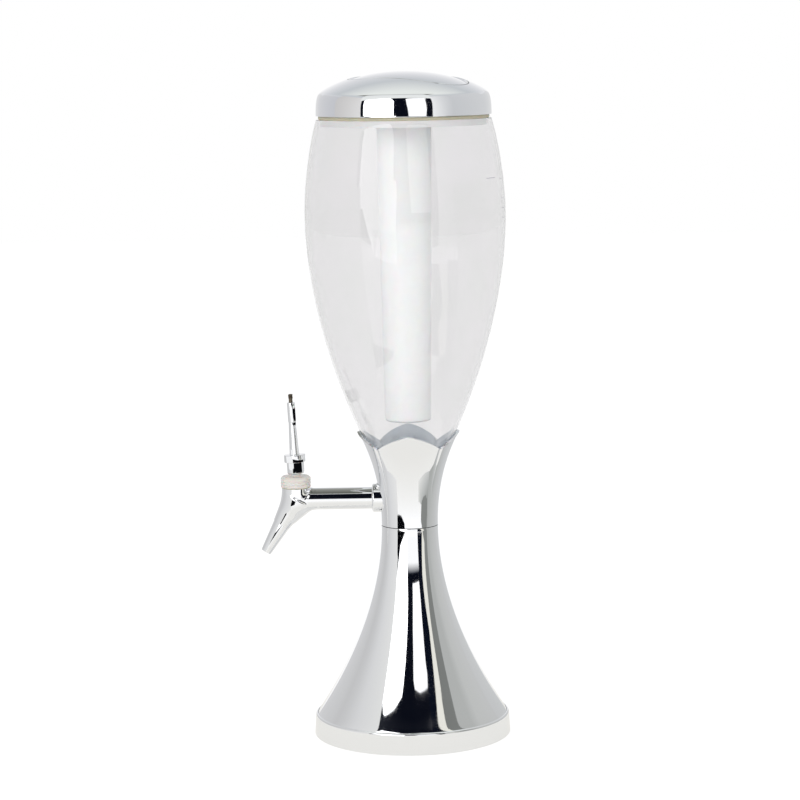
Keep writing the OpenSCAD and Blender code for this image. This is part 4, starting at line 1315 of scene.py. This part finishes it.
@dataclass
class Lever:
    """The lever: a slotted foot on the stem's pin, a slim arm, a ferrule and the threaded stud."""

    x: float = -101.0
    pin_z: float = 243.356
    lean: float = 3.0
    pin_rise: float = 6.0
    foot_r: float = 7.8
    foot_round: float = 1.2
    rim_r: float = 9.7
    rim_low: float = 4.4
    rim_high: float = 11.0
    root_r: float = 4.4
    tip_r: float = 3.2
    ferrule_low: float = 40.0
    ferrule_high: float = 57.8
    ferrule_r: float = 3.55
    core_r: float = 2.4
    slot_half: float = 2.25
    slot_top: float = 3.8
    pin_r: float = 1.52
    pin_skin: float = 1.6  # wall left over the pin's near end
    stud_low: float = 46.1
    stud_neck_r: float = 1.7
    thread_low: float = 61.0
    thread_high: float = 65.2
    thread_r: float = 2.15
    thread_pitch: float = 0.7
    thread_depth: float = 0.43
    thread_start: float = 0.32  # how far the wound thread stays inside the stud's threaded length

    def place(self) -> Matrix:
        """The lever's own axis, from the pin up, leaning away from the tower."""
        spot = Matrix.Translation((self.x * MM, 0, self.pin_z * MM))
        return spot @ Matrix.Rotation(math.radians(-self.lean), 4, "Y")

    def arm_mesh(self) -> BMesh:
        """The lever's foot, rim and arm, with the slot for the stem and the pin's hole."""
        core_top = self.ferrule_high - 0.8
        line = [
            (0.0, -self.pin_rise), *rounded_foot(self.foot_r, -self.pin_rise, self.foot_round, 15),
            (self.foot_r, self.rim_low), (self.rim_r, self.rim_low), (self.rim_r, self.rim_high),
            (self.root_r, self.rim_high),
            *finer([(self.root_r, self.rim_high + 0.8), (self.tip_r, self.ferrule_low)], 4),
            (self.core_r, self.ferrule_low), (self.core_r, core_top), (0.0, core_top),
        ]
        bm = turned(softened(line, 0.4), 96)
        past = 20.0  # beyond the foot on every side
        slot = block((-past, -self.slot_half, -past), (past, self.slot_half, self.slot_top))
        across = rod(self.pin_r, -past, self.foot_r - self.pin_skin, Matrix.Rotation(math.radians(90), 4, "X"), 48)
        bm = without(bm, slot, across)
        bm.transform(self.place())
        return bm

    def pin_mesh(self) -> BMesh:
        """The pin, pressed in from the far side, with rounded ends."""
        r, low, high = self.pin_r - 0.02, 0.5 - self.foot_r, self.foot_r - self.pin_skin - 0.1
        loop = [(0.0, low), (r - 0.4, low), (r, low + 0.4), (r, high - 0.4), (r - 0.4, high), (0.0, high)]
        return turned(softened(loop, 0.2), 48, self.place() @ Matrix.Rotation(math.radians(90), 4, "X"))

    def ferrule_mesh(self) -> BMesh:
        """The ferrule over the arm's end."""
        loop = [
            (self.core_r + 0.05, self.ferrule_low + 0.02), (self.ferrule_r, self.ferrule_low + 0.02),
            (self.ferrule_r, self.ferrule_high), (self.core_r + 0.05, self.ferrule_high),
        ]
        return turned(softened(loop, 0.35, closed=True), 64, self.place(), closed=True)

    def stud_mesh(self) -> BMesh:
        """The stud: a plain neck and a wound thread above it."""
        root = self.thread_r - self.thread_depth
        line = [
            (0.0, self.stud_low), (self.stud_neck_r, self.stud_low), (self.stud_neck_r, self.thread_low),
            (root, self.thread_low + 0.1), (root, self.thread_high - 0.2), (root - 0.3, self.thread_high),
            (0.0, self.thread_high),
        ]
        core = turned(softened(line, 0.15), 48)
        section = bmesh.new()
        low, inside = self.thread_low + self.thread_start, root - 0.1
        corners = [(inside, low - 0.3), (self.thread_r, low - 0.06), (self.thread_r, low + 0.06), (inside, low + 0.3)]
        verts = [section.verts.new((r * MM, 0, z * MM)) for r, z in corners]
        for a, b in zip(verts, [*verts[1:], verts[0]]):
            section.edges.new((a, b))
        rise = self.thread_high - self.thread_low - 2 * self.thread_start
        bm = joined(core, coil(section, rise / self.thread_pitch, rise, 40))
        bm.transform(self.place())
        return bm

    def build(self) -> None:
        """Adds the lever, its ferrule and its stud."""
        add_plated("lever", self.arm_mesh(), Body.LEVER)
        add_plated("handle_ferrule", self.ferrule_mesh(), Body.LEVER)
        add_piece("handle_stud_threaded", self.stud_mesh(), DULL_BRASS, Body.LEVER, ["handle_stud"])
        add_piece("lever_pin_ground", self.pin_mesh(), TURNED_STAINLESS, Body.LEVER, ["lever_pin"])


HIDDEN_FINISHES: dict[str, Finish] = {
    "base_pad": BLACK_RUBBER,
    "base_plate": TEXTURED_ABS,
    "base_screws": TURNED_STAINLESS,
    "ballast_weight": CAST_IRON,
    "neck_coupling": FILLED_NYLON,
    "neck_gasket": BLACK_RUBBER,
    "tank_gasket": CREAM_SILICONE_PAINTED_SHADE,
    "tap_washer": CREAM_SILICONE_PAINTED_SHADE,
    "tap_locknut": MILKY_NYLON,
    "bonnet_gasket": CREAM_SILICONE_PAINTED_SHADE,
    "stem_seal": BLACK_RUBBER,
    "valve_stem": TURNED_STAINLESS,
    "valve_plug": CREAM_SILICONE_PAINTED_SHADE,
    "lid_liner": NATURAL_POLYPROPYLENE,
    "lid_screws": TURNED_STAINLESS,
    "tube_socket": MILKY_NYLON,
    "tube_seal": CREAM_SILICONE_PAINTED_SHADE,
}


@dataclass
class HiddenParts:
    """The CAD nodes whose plain shapes are right, each with its real finish."""

    nodes: dict[str, bpy.types.Object]

    def dress(self) -> None:
        """Gives every shown CAD node its finish."""
        for name, finish in HIDDEN_FINISHES.items():
            data = self.nodes[name].data
            data.materials.clear()
            data.materials.append(finish.build())
            LOG.info("node %s: %s", name, finish.name)


# ---------------------------------------------------------------- studio

WHITE = "#FFFFFF"
BLACK = "#0A0B0E"
NIGHT = "#0A0D17"


@dataclass(frozen=True)
class Card:
    """A flat card of the studio, in metres, which only mirrors see."""

    name: str
    corners: tuple[Triple, ...]
    colours: tuple[str, ...]  # one for each corner, or one for them all
    strength: float = 1.0
    clockwise_side: bool = False  # seen only from the side that its corners run clockwise on

    def build(self) -> None:
        """Adds the card as a glowing sheet."""
        bm = bmesh.new()
        paint = bm.verts.layers.float_color.new("glow")
        verts = []
        for k, corner in enumerate(self.corners):
            vert = bm.verts.new(corner)
            vert[paint] = hex_linear(self.colours[k % len(self.colours)])
            verts.append(vert)
        bm.faces.new(verts)
        bmesh.ops.triangulate(bm, faces=bm.faces[:])
        obj = as_object(self.name, bm)
        obj.data.materials.append(glow(f"studio_{self.name}", self.strength, self.clockwise_side))
        for ray in ("camera", "diffuse", "transmission", "volume_scatter", "shadow"):
            setattr(obj, f"visible_{ray}", False)


def upright(y: float, outline: Sequence[Point]) -> tuple[Triple, ...]:
    """The corners of a card that stands across the view at a depth, from its outline in X and Z."""
    return tuple((x, y, z) for x, z in outline)


def wall(start: Point, end: Point, low: float, high: float) -> tuple[Triple, ...]:
    """The corners of an upright card over a line on the floor."""
    return ((*start, low), (*end, low), (*end, high), (*start, high))


def flat(outline: Sequence[Point], height: float = 0.002) -> tuple[Triple, ...]:
    """The corners of a card that lies on the floor, from its outline in X and Y."""
    return tuple((x, y, height) for x, y in outline)


def around(radius: float, outline: Sequence[Point]) -> tuple[Triple, ...]:
    """The corners of a card that stands on a circle about the tower.

    Args:
        radius: The circle's radius in metres.
        outline: The corners, each as degrees from the front toward the right and a height in metres.

    Returns:
        The corners in X, Y and Z.
    """
    turned = ((math.radians(degrees), height) for degrees, height in outline)
    return tuple((radius * math.sin(turn), -radius * math.cos(turn), height) for turn, height in turned)


def ribbon(radius: float, stations: Sequence[Triple]) -> tuple[Triple, ...]:
    """The corners of a tall card on a circle, from its height and its two edges in degrees at each station."""
    up = [(right, height) for height, _, right in stations]
    down = [(left, height) for height, left, _ in reversed(stations)]
    return around(radius, up + down)


def both_edges(*colours: str) -> tuple[str, ...]:
    """The corner colours of a ribbon whose two edges have the same colour at each height."""
    return (*colours, *reversed(colours))


def by_ray(
    tree: bpy.types.NodeTree, plain: bpy.types.Node, mirrored: bpy.types.Node, straight: bpy.types.Node
) -> bpy.types.Node:
    """Chooses one of three shaders by the kind of ray that meets them.

    Args:
        tree: The node tree.
        plain: What lights the object.
        mirrored: What mirroring surfaces see.
        straight: What the camera sees, also through the clear tank.

    Returns:
        The node that mixes them.
    """
    path = add_node(tree, "ShaderNodeLightPath")
    seen = add_node(
        tree, "ShaderNodeMath", {"operation": "MAXIMUM"},
        {0: path.outputs["Is Camera Ray"], 1: path.outputs["Is Transmission Ray"]},
    )
    glossy = add_node(
        tree, "ShaderNodeMixShader", None,
        {0: path.outputs["Is Glossy Ray"], 1: plain.outputs[0], 2: mirrored.outputs[0]},
    )
    return add_node(
        tree, "ShaderNodeMixShader", None, {0: seen.outputs[0], 1: glossy.outputs[0], 2: straight.outputs[0]}
    )


def glow(name: str, strength: float, one_sided: bool = False) -> bpy.types.Material:
    """A material that glows in the colours painted on its corners.

    Args:
        name: The material's name.
        strength: How bright it glows.
        one_sided: Whether it is clear on its face's front.

    Returns:
        The new material.
    """
    material = bpy.data.materials.new(name)
    material.use_nodes = True
    tree = material.node_tree
    tree.nodes.clear()
    paint = add_node(tree, "ShaderNodeAttribute", {"attribute_name": "glow"})
    light = add_node(tree, "ShaderNodeEmission", {"Strength": strength}, {"Color": paint.outputs["Color"]})
    surface = light.outputs["Emission"]
    if one_sided:
        side = add_node(tree, "ShaderNodeNewGeometry")
        clear = add_node(tree, "ShaderNodeBsdfTransparent")
        sides = {0: side.outputs["Backfacing"], 1: clear.outputs[0], 2: surface}
        surface = add_node(tree, "ShaderNodeMixShader", None, sides).outputs[0]
    add_node(tree, "ShaderNodeOutputMaterial", None, {"Surface": surface})
    return material


@dataclass
class Studio:
    """The white floor, the surroundings that the plating mirrors, soft light and the camera."""

    cards: tuple[Card, ...] = (
        Card("dark_room", wall((-2.95, -1.9), (1.45, -1.9), 0.0, 2.2), (NIGHT,)),
        Card("dark_room_top", wall((-2.95, -1.9), (1.45, -1.9), 2.2, 3.2), (NIGHT, NIGHT, "#7A7A7E", "#2A2C33")),
        Card(
            "left_softbox",
            upright(-1.5, [
                (-1.07, 0.0), (-0.27, 0.0), (-0.27, 0.43), (-0.235, 0.61), (-0.27, 0.87), (-0.35, 1.14), (-0.43, 1.36),
                (-0.5, 1.52), (-0.86, 1.75), (-1.47, 2.09), (-1.62, 2.14), (-1.9, 2.05), (-1.98, 1.5), (-1.98, 0.52),
                (-1.7, 0.5), (-1.4, 0.24),
            ]),
            (WHITE,), 2.4,
        ),
        Card(
            "right_softbox",
            upright(-1.5, [
                (0.17, 0.46), (0.8, 0.46), (0.84, 0.65), (0.8, 0.9), (0.8, 1.2), (0.88, 1.44), (0.8, 1.5), (0.35, 1.46),
                (0.12, 1.4), (0.07, 1.31), (0.1, 0.86), (0.15, 0.61),
            ]),
            (WHITE,), 1.25,
        ),
        Card("table_front", wall((-1.1, -1.5), (0.87, -1.5), 0.0, 0.27), (WHITE,), 1.1),
        Card("table_haze", wall((-0.27, -1.5), (0.87, -1.5), 0.27, 0.37), (WHITE, WHITE, "#1A2130", "#1A2130"), 1.1),
        Card(
            "dark_wedge",
            around(0.36, [
                (-50, 0.108), (-46, 0.104), (-33, 0.104), (-20, 0.12), (-19, 0.134), (-28, 0.146), (-40, 0.159),
                (-48, 0.17),
            ]),
            ("#06070A",),
        ),
        Card(
            "near_dark",
            ribbon(0.36, [
                (0.134, 29, 47), (0.19, 30, 40), (0.22, 29, 40.5), (0.25, 29, 43), (0.29, 29, 41), (0.315, 26, 35.5),
                (0.35, 26, 34),
            ]),
            ("#0A0F1C",),
        ),
        Card(
            "near_seam",
            ribbon(0.36, [
                (0.13, 47, 56), (0.185, 40, 52), (0.22, 40.5, 50.5), (0.25, 43, 49.5), (0.29, 41, 47.5),
                (0.315, 35.5, 45), (0.35, 34, 44),
            ]),
            ("#F3F1E7",),
        ),
        Card(
            "near_band",
            ribbon(0.36, [
                (0.065, 50, 70), (0.08, 46, 71), (0.117, 44, 72), (0.15, 56, 74), (0.185, 52, 73), (0.21, 50.5, 71),
                (0.245, 49.5, 66.5), (0.27, 48.5, 63), (0.29, 47.5, 61.5), (0.31, 45, 60.5), (0.36, 44, 58),
            ]),
            both_edges(
                "#8B8D8A", "#8B8D8A", "#8B8D8A", "#8A8C89", "#888A87", "#888A87", "#888A87", "#858784", "#7E807D",
                "#7A7C79", "#7A7C79",
            ),
        ),
        Card(
            "near_low", around(0.362, [(33, 0.0), (73, 0.0), (73, 0.075), (48, 0.085), (34, 0.07)]),
            ("#F0F0EC", "#CDCECC", "#A2A4A1", "#BBBDBA", "#E8E8E4"),
        ),
        Card(
            "near_right",
            ribbon(0.364, [(0.0, 70, 88), (0.15, 70, 88), (0.2, 66, 88), (0.27, 60, 88), (0.53, 50, 88)]),
            (
                "#B0B2AF", "#B8BAB7", "#C5C6C4", "#C6C7C5", "#C4C5C3", "#C0C1BF", "#C2C3C1", "#C2C3C1", "#B4B6B3",
                "#AFB1AE",
            ),
        ),
        Card(
            "near_side",
            around(0.364, [(88, 0.0), (118, 0.0), (118, 0.15), (118, 0.53), (88, 0.53), (88, 0.19), (88, 0.12)]),
            ("#B6B8B5", "#C2C3C2", "#D8D9D8", "#DEDEDD", "#DCDCDA", "#DADAD8", "#BABBB9"),
        ),
        Card(
            "near_rear", around(0.364, [(118, 0.0), (150, 0.0), (150, 0.53), (118, 0.53), (118, 0.15)]),
            ("#C6C7C7", "#CED0D0", "#E2E3E3", "#DEDEDD", "#D8D9D8"),
        ),
        Card(
            "near_left",
            around(0.364, [(-46, 0.53), (-46, 0.07), (-46, 0.0), (-76, 0.0), (-76, 0.08), (-76, 0.53)]),
            ("#E6E6E3", "#E7E7E4", "#F0F0EE", "#E4E4E4", "#D8D8D8", "#D8D8D8"),
        ),
        Card(
            "near_left_side", around(0.364, [(-76, 0.53), (-76, 0.08), (-76, 0.0), (-104, 0.0), (-104, 0.53)]),
            ("#D8D8D8", "#D8D8D8", "#E4E4E4", "#CBCBCB", "#CCCBCB"),
        ),
        Card(
            "near_left_rear", around(0.364, [(-104, 0.53), (-104, 0.0), (-146, 0.0), (-146, 0.53)]),
            ("#CCCBCB", "#CBCBCB", "#D8D8D9", "#E2E2E2"),
        ),
        Card(
            "pipe_roof", flat([(-0.095, -0.055), (-0.043, -0.055), (-0.043, 0.1), (-0.095, 0.1)], 0.3),
            ("#55574F", "#55574F", "#B4B5AF", "#B4B5AF"), clockwise_side=True,
        ),
        Card("lever_flag", wall((-0.085, -0.028), (-0.085, 0.03), 0.281, 0.2955), (BLACK,)),
        Card("foot_flag", wall((-0.1112, -0.0311), (-0.0803, -0.0035), 0.2345, 0.249), (BLACK,), clockwise_side=True),
        Card("foot_light", wall((-0.131, -0.002), (-0.1112, -0.0311), 0.2345, 0.256), (WHITE,), clockwise_side=True),
        Card("lid_flag", around(0.36, [(-11.6, 0.55), (-3.8, 0.55), (-3.8, 0.71), (-11.6, 0.71)]), (NIGHT,)),
        Card(
            "light_top", ((-0.6, -0.4, 0.785), (0.29, -0.4, 0.785), (0.27, -0.3, 1.4), (-0.6, -0.3, 1.4)),
            ("#F4F6F4", "#F4F6F4", "#E2E4E4", "#E2E4E4"),
        ),
        Card("right_light", wall((1.45, -1.9), (2.2, -0.95), 0.0, 2.4), ("#FBFBFA", "#CCCED0", "#D2D3D5", "#F2F2F2")),
        Card("right_wall", wall((2.2, -0.95), (2.4, 2.2), 0.0, 2.4), ("#CCCED0", "#D8D9DA", "#D8D9DA", "#D2D3D5")),
        Card("right_back", wall((2.4, 2.2), (0.9, 3.6), 0.0, 1.6), ("#D8D9DA", "#E6E6E6", "#E6E6E6", "#D8D9DA")),
        Card("left_light", wall((-2.92, -1.88), (-2.6, 0.46), 0.0, 2.4), ("#EAE9E8", "#D0CECD", "#D0CECD", "#E6E4E2")),
        Card("left_wall", wall((-2.6, 0.46), (-2.2, 3.2), 0.0, 2.0), ("#CCCDD2", "#DCDCDE", "#DCDCDE", "#CDCED2")),
        Card("left_back", wall((-2.2, 3.2), (-0.9, 3.6), 0.0, 1.6), ("#DCDCDE", "#E8E8E8", "#E8E8E8", "#DCDCDE")),
        Card(
            "front_ceiling", ((-2.6, -1.9, 3.2), (1.34, -1.9, 3.2), (1.34, -0.35, 3.3), (-2.6, -0.35, 3.3)),
            ("#6A6A66", "#6A6B68", "#9C9D98", "#9C9D98"),
        ),
    )
    backdrop: tuple[tuple[float, str], ...] = (  # by the sine of the angle above the horizon
        (0.0, "#FFFFFF"), (0.15, "#F8F8F9"), (0.42, "#DFE0E3"), (0.64, "#CBCFD2"), (0.78, "#DFE2E1"), (0.92, "#F0F3EF"),
    )
    air: float = 0.66  # strength of the world's even light
    floor_half: float = 6.0
    floor_seen: float = 0.86  # the floor's own glow to the camera
    floor_mirrored: Point = (0.67, 0.87)  # its glow to mirrors, at the tower and away from it
    floor_ivory: Point = (0.25, 0.8)  # metres from the tower between which it turns from ivory to white
    lamps: tuple[tuple[str, Triple, float, float], ...] = (  # name, place, side in metres, power in watts
        ("front_lamp", (-1.2, -1.9, 0.8), 1.4, 25.0),
        ("side_lamp", (1.7, -1.2, 0.9), 1.2, 11.0),
    )
    tower_middle: Triple = (0, 0, 0.3)
    camera_at: Triple = (-0.007, -2.4, 0.624)
    camera_down: float = 7.65  # degrees
    camera_roll: float = -0.88  # degrees
    lens_mm: float = 122.715
    sensor_mm: float = 36.0
    sight: float = 50.0  # how far the camera sees, in metres

    def floor(self) -> None:
        """Adds the floor: white to the camera, ivory to mirrors, and it keeps the tower's shadow."""
        bm = bmesh.new()
        bmesh.ops.create_grid(bm, x_segments=1, y_segments=1, size=self.floor_half)
        obj = as_object("floor", bm)
        material = bpy.data.materials.new("white_studio_floor")
        material.use_nodes = True
        tree = material.node_tree
        tree.nodes.clear()
        where = add_node(tree, "ShaderNodeTexCoord")
        away = add_node(tree, "ShaderNodeVectorMath", {"operation": "LENGTH"}, {0: where.outputs["Object"]})
        near, beyond = self.floor_ivory
        far = add_node(tree, "ShaderNodeMapRange", {1: near, 2: beyond, 3: 0.0, 4: 1.0}, {0: away.outputs["Value"]})
        ivory = add_node(tree, "ShaderNodeValToRGB", None, {"Fac": far.outputs["Result"]})
        ivory.color_ramp.elements[0].color = hex_linear("#FFFDF6")
        ivory.color_ramp.elements[1].color = hex_linear(WHITE)
        dim, bright = self.floor_mirrored
        glow_by = add_node(tree, "ShaderNodeMapRange", {1: 0.0, 2: 1.0, 3: dim, 4: bright}, {0: far.outputs["Result"]})
        plain = add_node(tree, "ShaderNodeBsdfDiffuse", {"Color": hex_linear("#E4E4E4")})
        faint = add_node(tree, "ShaderNodeBsdfDiffuse", {"Color": hex_linear("#8F8F8F")})
        lit = add_node(tree, "ShaderNodeEmission", {"Color": (1, 1, 1, 1), "Strength": self.floor_seen})
        pale = add_node(
            tree, "ShaderNodeEmission", None, {"Color": ivory.outputs["Color"], "Strength": glow_by.outputs["Result"]}
        )
        straight = add_node(tree, "ShaderNodeAddShader", None, {0: faint.outputs[0], 1: lit.outputs[0]})
        mirrored = add_node(tree, "ShaderNodeAddShader", None, {0: faint.outputs[0], 1: pale.outputs[0]})
        mix = by_ray(tree, plain, mirrored, straight)
        add_node(tree, "ShaderNodeOutputMaterial", None, {"Surface": mix.outputs[0]})
        obj.data.materials.append(material)

    def sky(self) -> None:
        """Sets the world: white to the camera and through glass, pale above to mirrors, plain light."""
        world = bpy.data.worlds.new("studio_air")
        bpy.context.scene.world = world
        world.use_nodes = True
        tree = world.node_tree
        tree.nodes.clear()
        where = add_node(tree, "ShaderNodeTexCoord")
        parts = add_node(tree, "ShaderNodeSeparateXYZ", None, {"Vector": where.outputs["Generated"]})
        ramp = add_node(tree, "ShaderNodeValToRGB", None, {"Fac": parts.outputs["Z"]})
        ramp.color_ramp.elements.remove(ramp.color_ramp.elements[1])
        for k, (position, colour) in enumerate(self.backdrop):
            element = ramp.color_ramp.elements.new(position) if k else ramp.color_ramp.elements[0]
            element.position, element.color = position, hex_linear(colour)
        mirrored = add_node(tree, "ShaderNodeBackground", {"Strength": 1.0}, {"Color": ramp.outputs["Color"]})
        white = add_node(tree, "ShaderNodeBackground", {"Color": (1, 1, 1, 1), "Strength": 1.0})
        soft = add_node(tree, "ShaderNodeBackground", {"Color": hex_linear("#FDFDFD"), "Strength": self.air})
        add_node(tree, "ShaderNodeOutputWorld", None, {"Surface": by_ray(tree, soft, mirrored, white).outputs[0]})

    def lamp(self, name: str, at: Triple, size: float, power: float) -> None:
        """Adds a soft lamp that faces the tower's middle and isn't mirrored.

        Args:
            name: The lamp's name.
            at: Its place in metres.
            size: Its side in metres.
            power: Its power in watts.
        """
        light = bpy.data.lights.new(name, "AREA")
        light.energy, light.size = power, size
        obj = bpy.data.objects.new(name, light)
        obj.location = at
        obj.rotation_euler = (Vector(self.tower_middle) - Vector(at)).to_track_quat("-Z", "Y").to_euler()
        for ray in ("camera", "glossy", "transmission"):
            setattr(obj, f"visible_{ray}", False)
        bpy.context.scene.collection.objects.link(obj)

    def camera(self) -> None:
        """Adds the camera at the photograph's place, with its slight tilt and roll."""
        data = bpy.data.cameras.new("camera")
        data.sensor_width, data.lens, data.clip_end = self.sensor_mm, self.lens_mm, self.sight
        cam = bpy.data.objects.new("camera", data)
        down, roll = math.radians(90 - self.camera_down), math.radians(self.camera_roll)
        turn = Matrix.Rotation(down, 4, "X") @ Matrix.Rotation(roll, 4, "Z")
        cam.matrix_world = Matrix.Translation(self.camera_at) @ turn
        bpy.context.scene.collection.objects.link(cam)
        bpy.context.scene.camera = cam

    def build(self) -> None:
        """Adds everything that isn't part of the object."""
        self.floor()
        self.sky()
        for card in self.cards:
            card.build()
        for lamp in self.lamps:
            self.lamp(*lamp)
        self.camera()
        bpy.context.scene.view_settings.view_transform = "Standard"


def main() -> None:
    """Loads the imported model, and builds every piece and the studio."""
    logging.basicConfig(level=logging.INFO, format="%(message)s")
    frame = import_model()
    collar = Collar()
    Pedestal().build()
    collar.build()
    Tank().build()
    IceTube().build()
    Lid().build()
    TapBody().build(collar)
    Valve().build()
    Lever().build()
    HiddenParts(frame["nodes"]).dress()
    Studio().build()


if __name__ == "__main__":
    main()
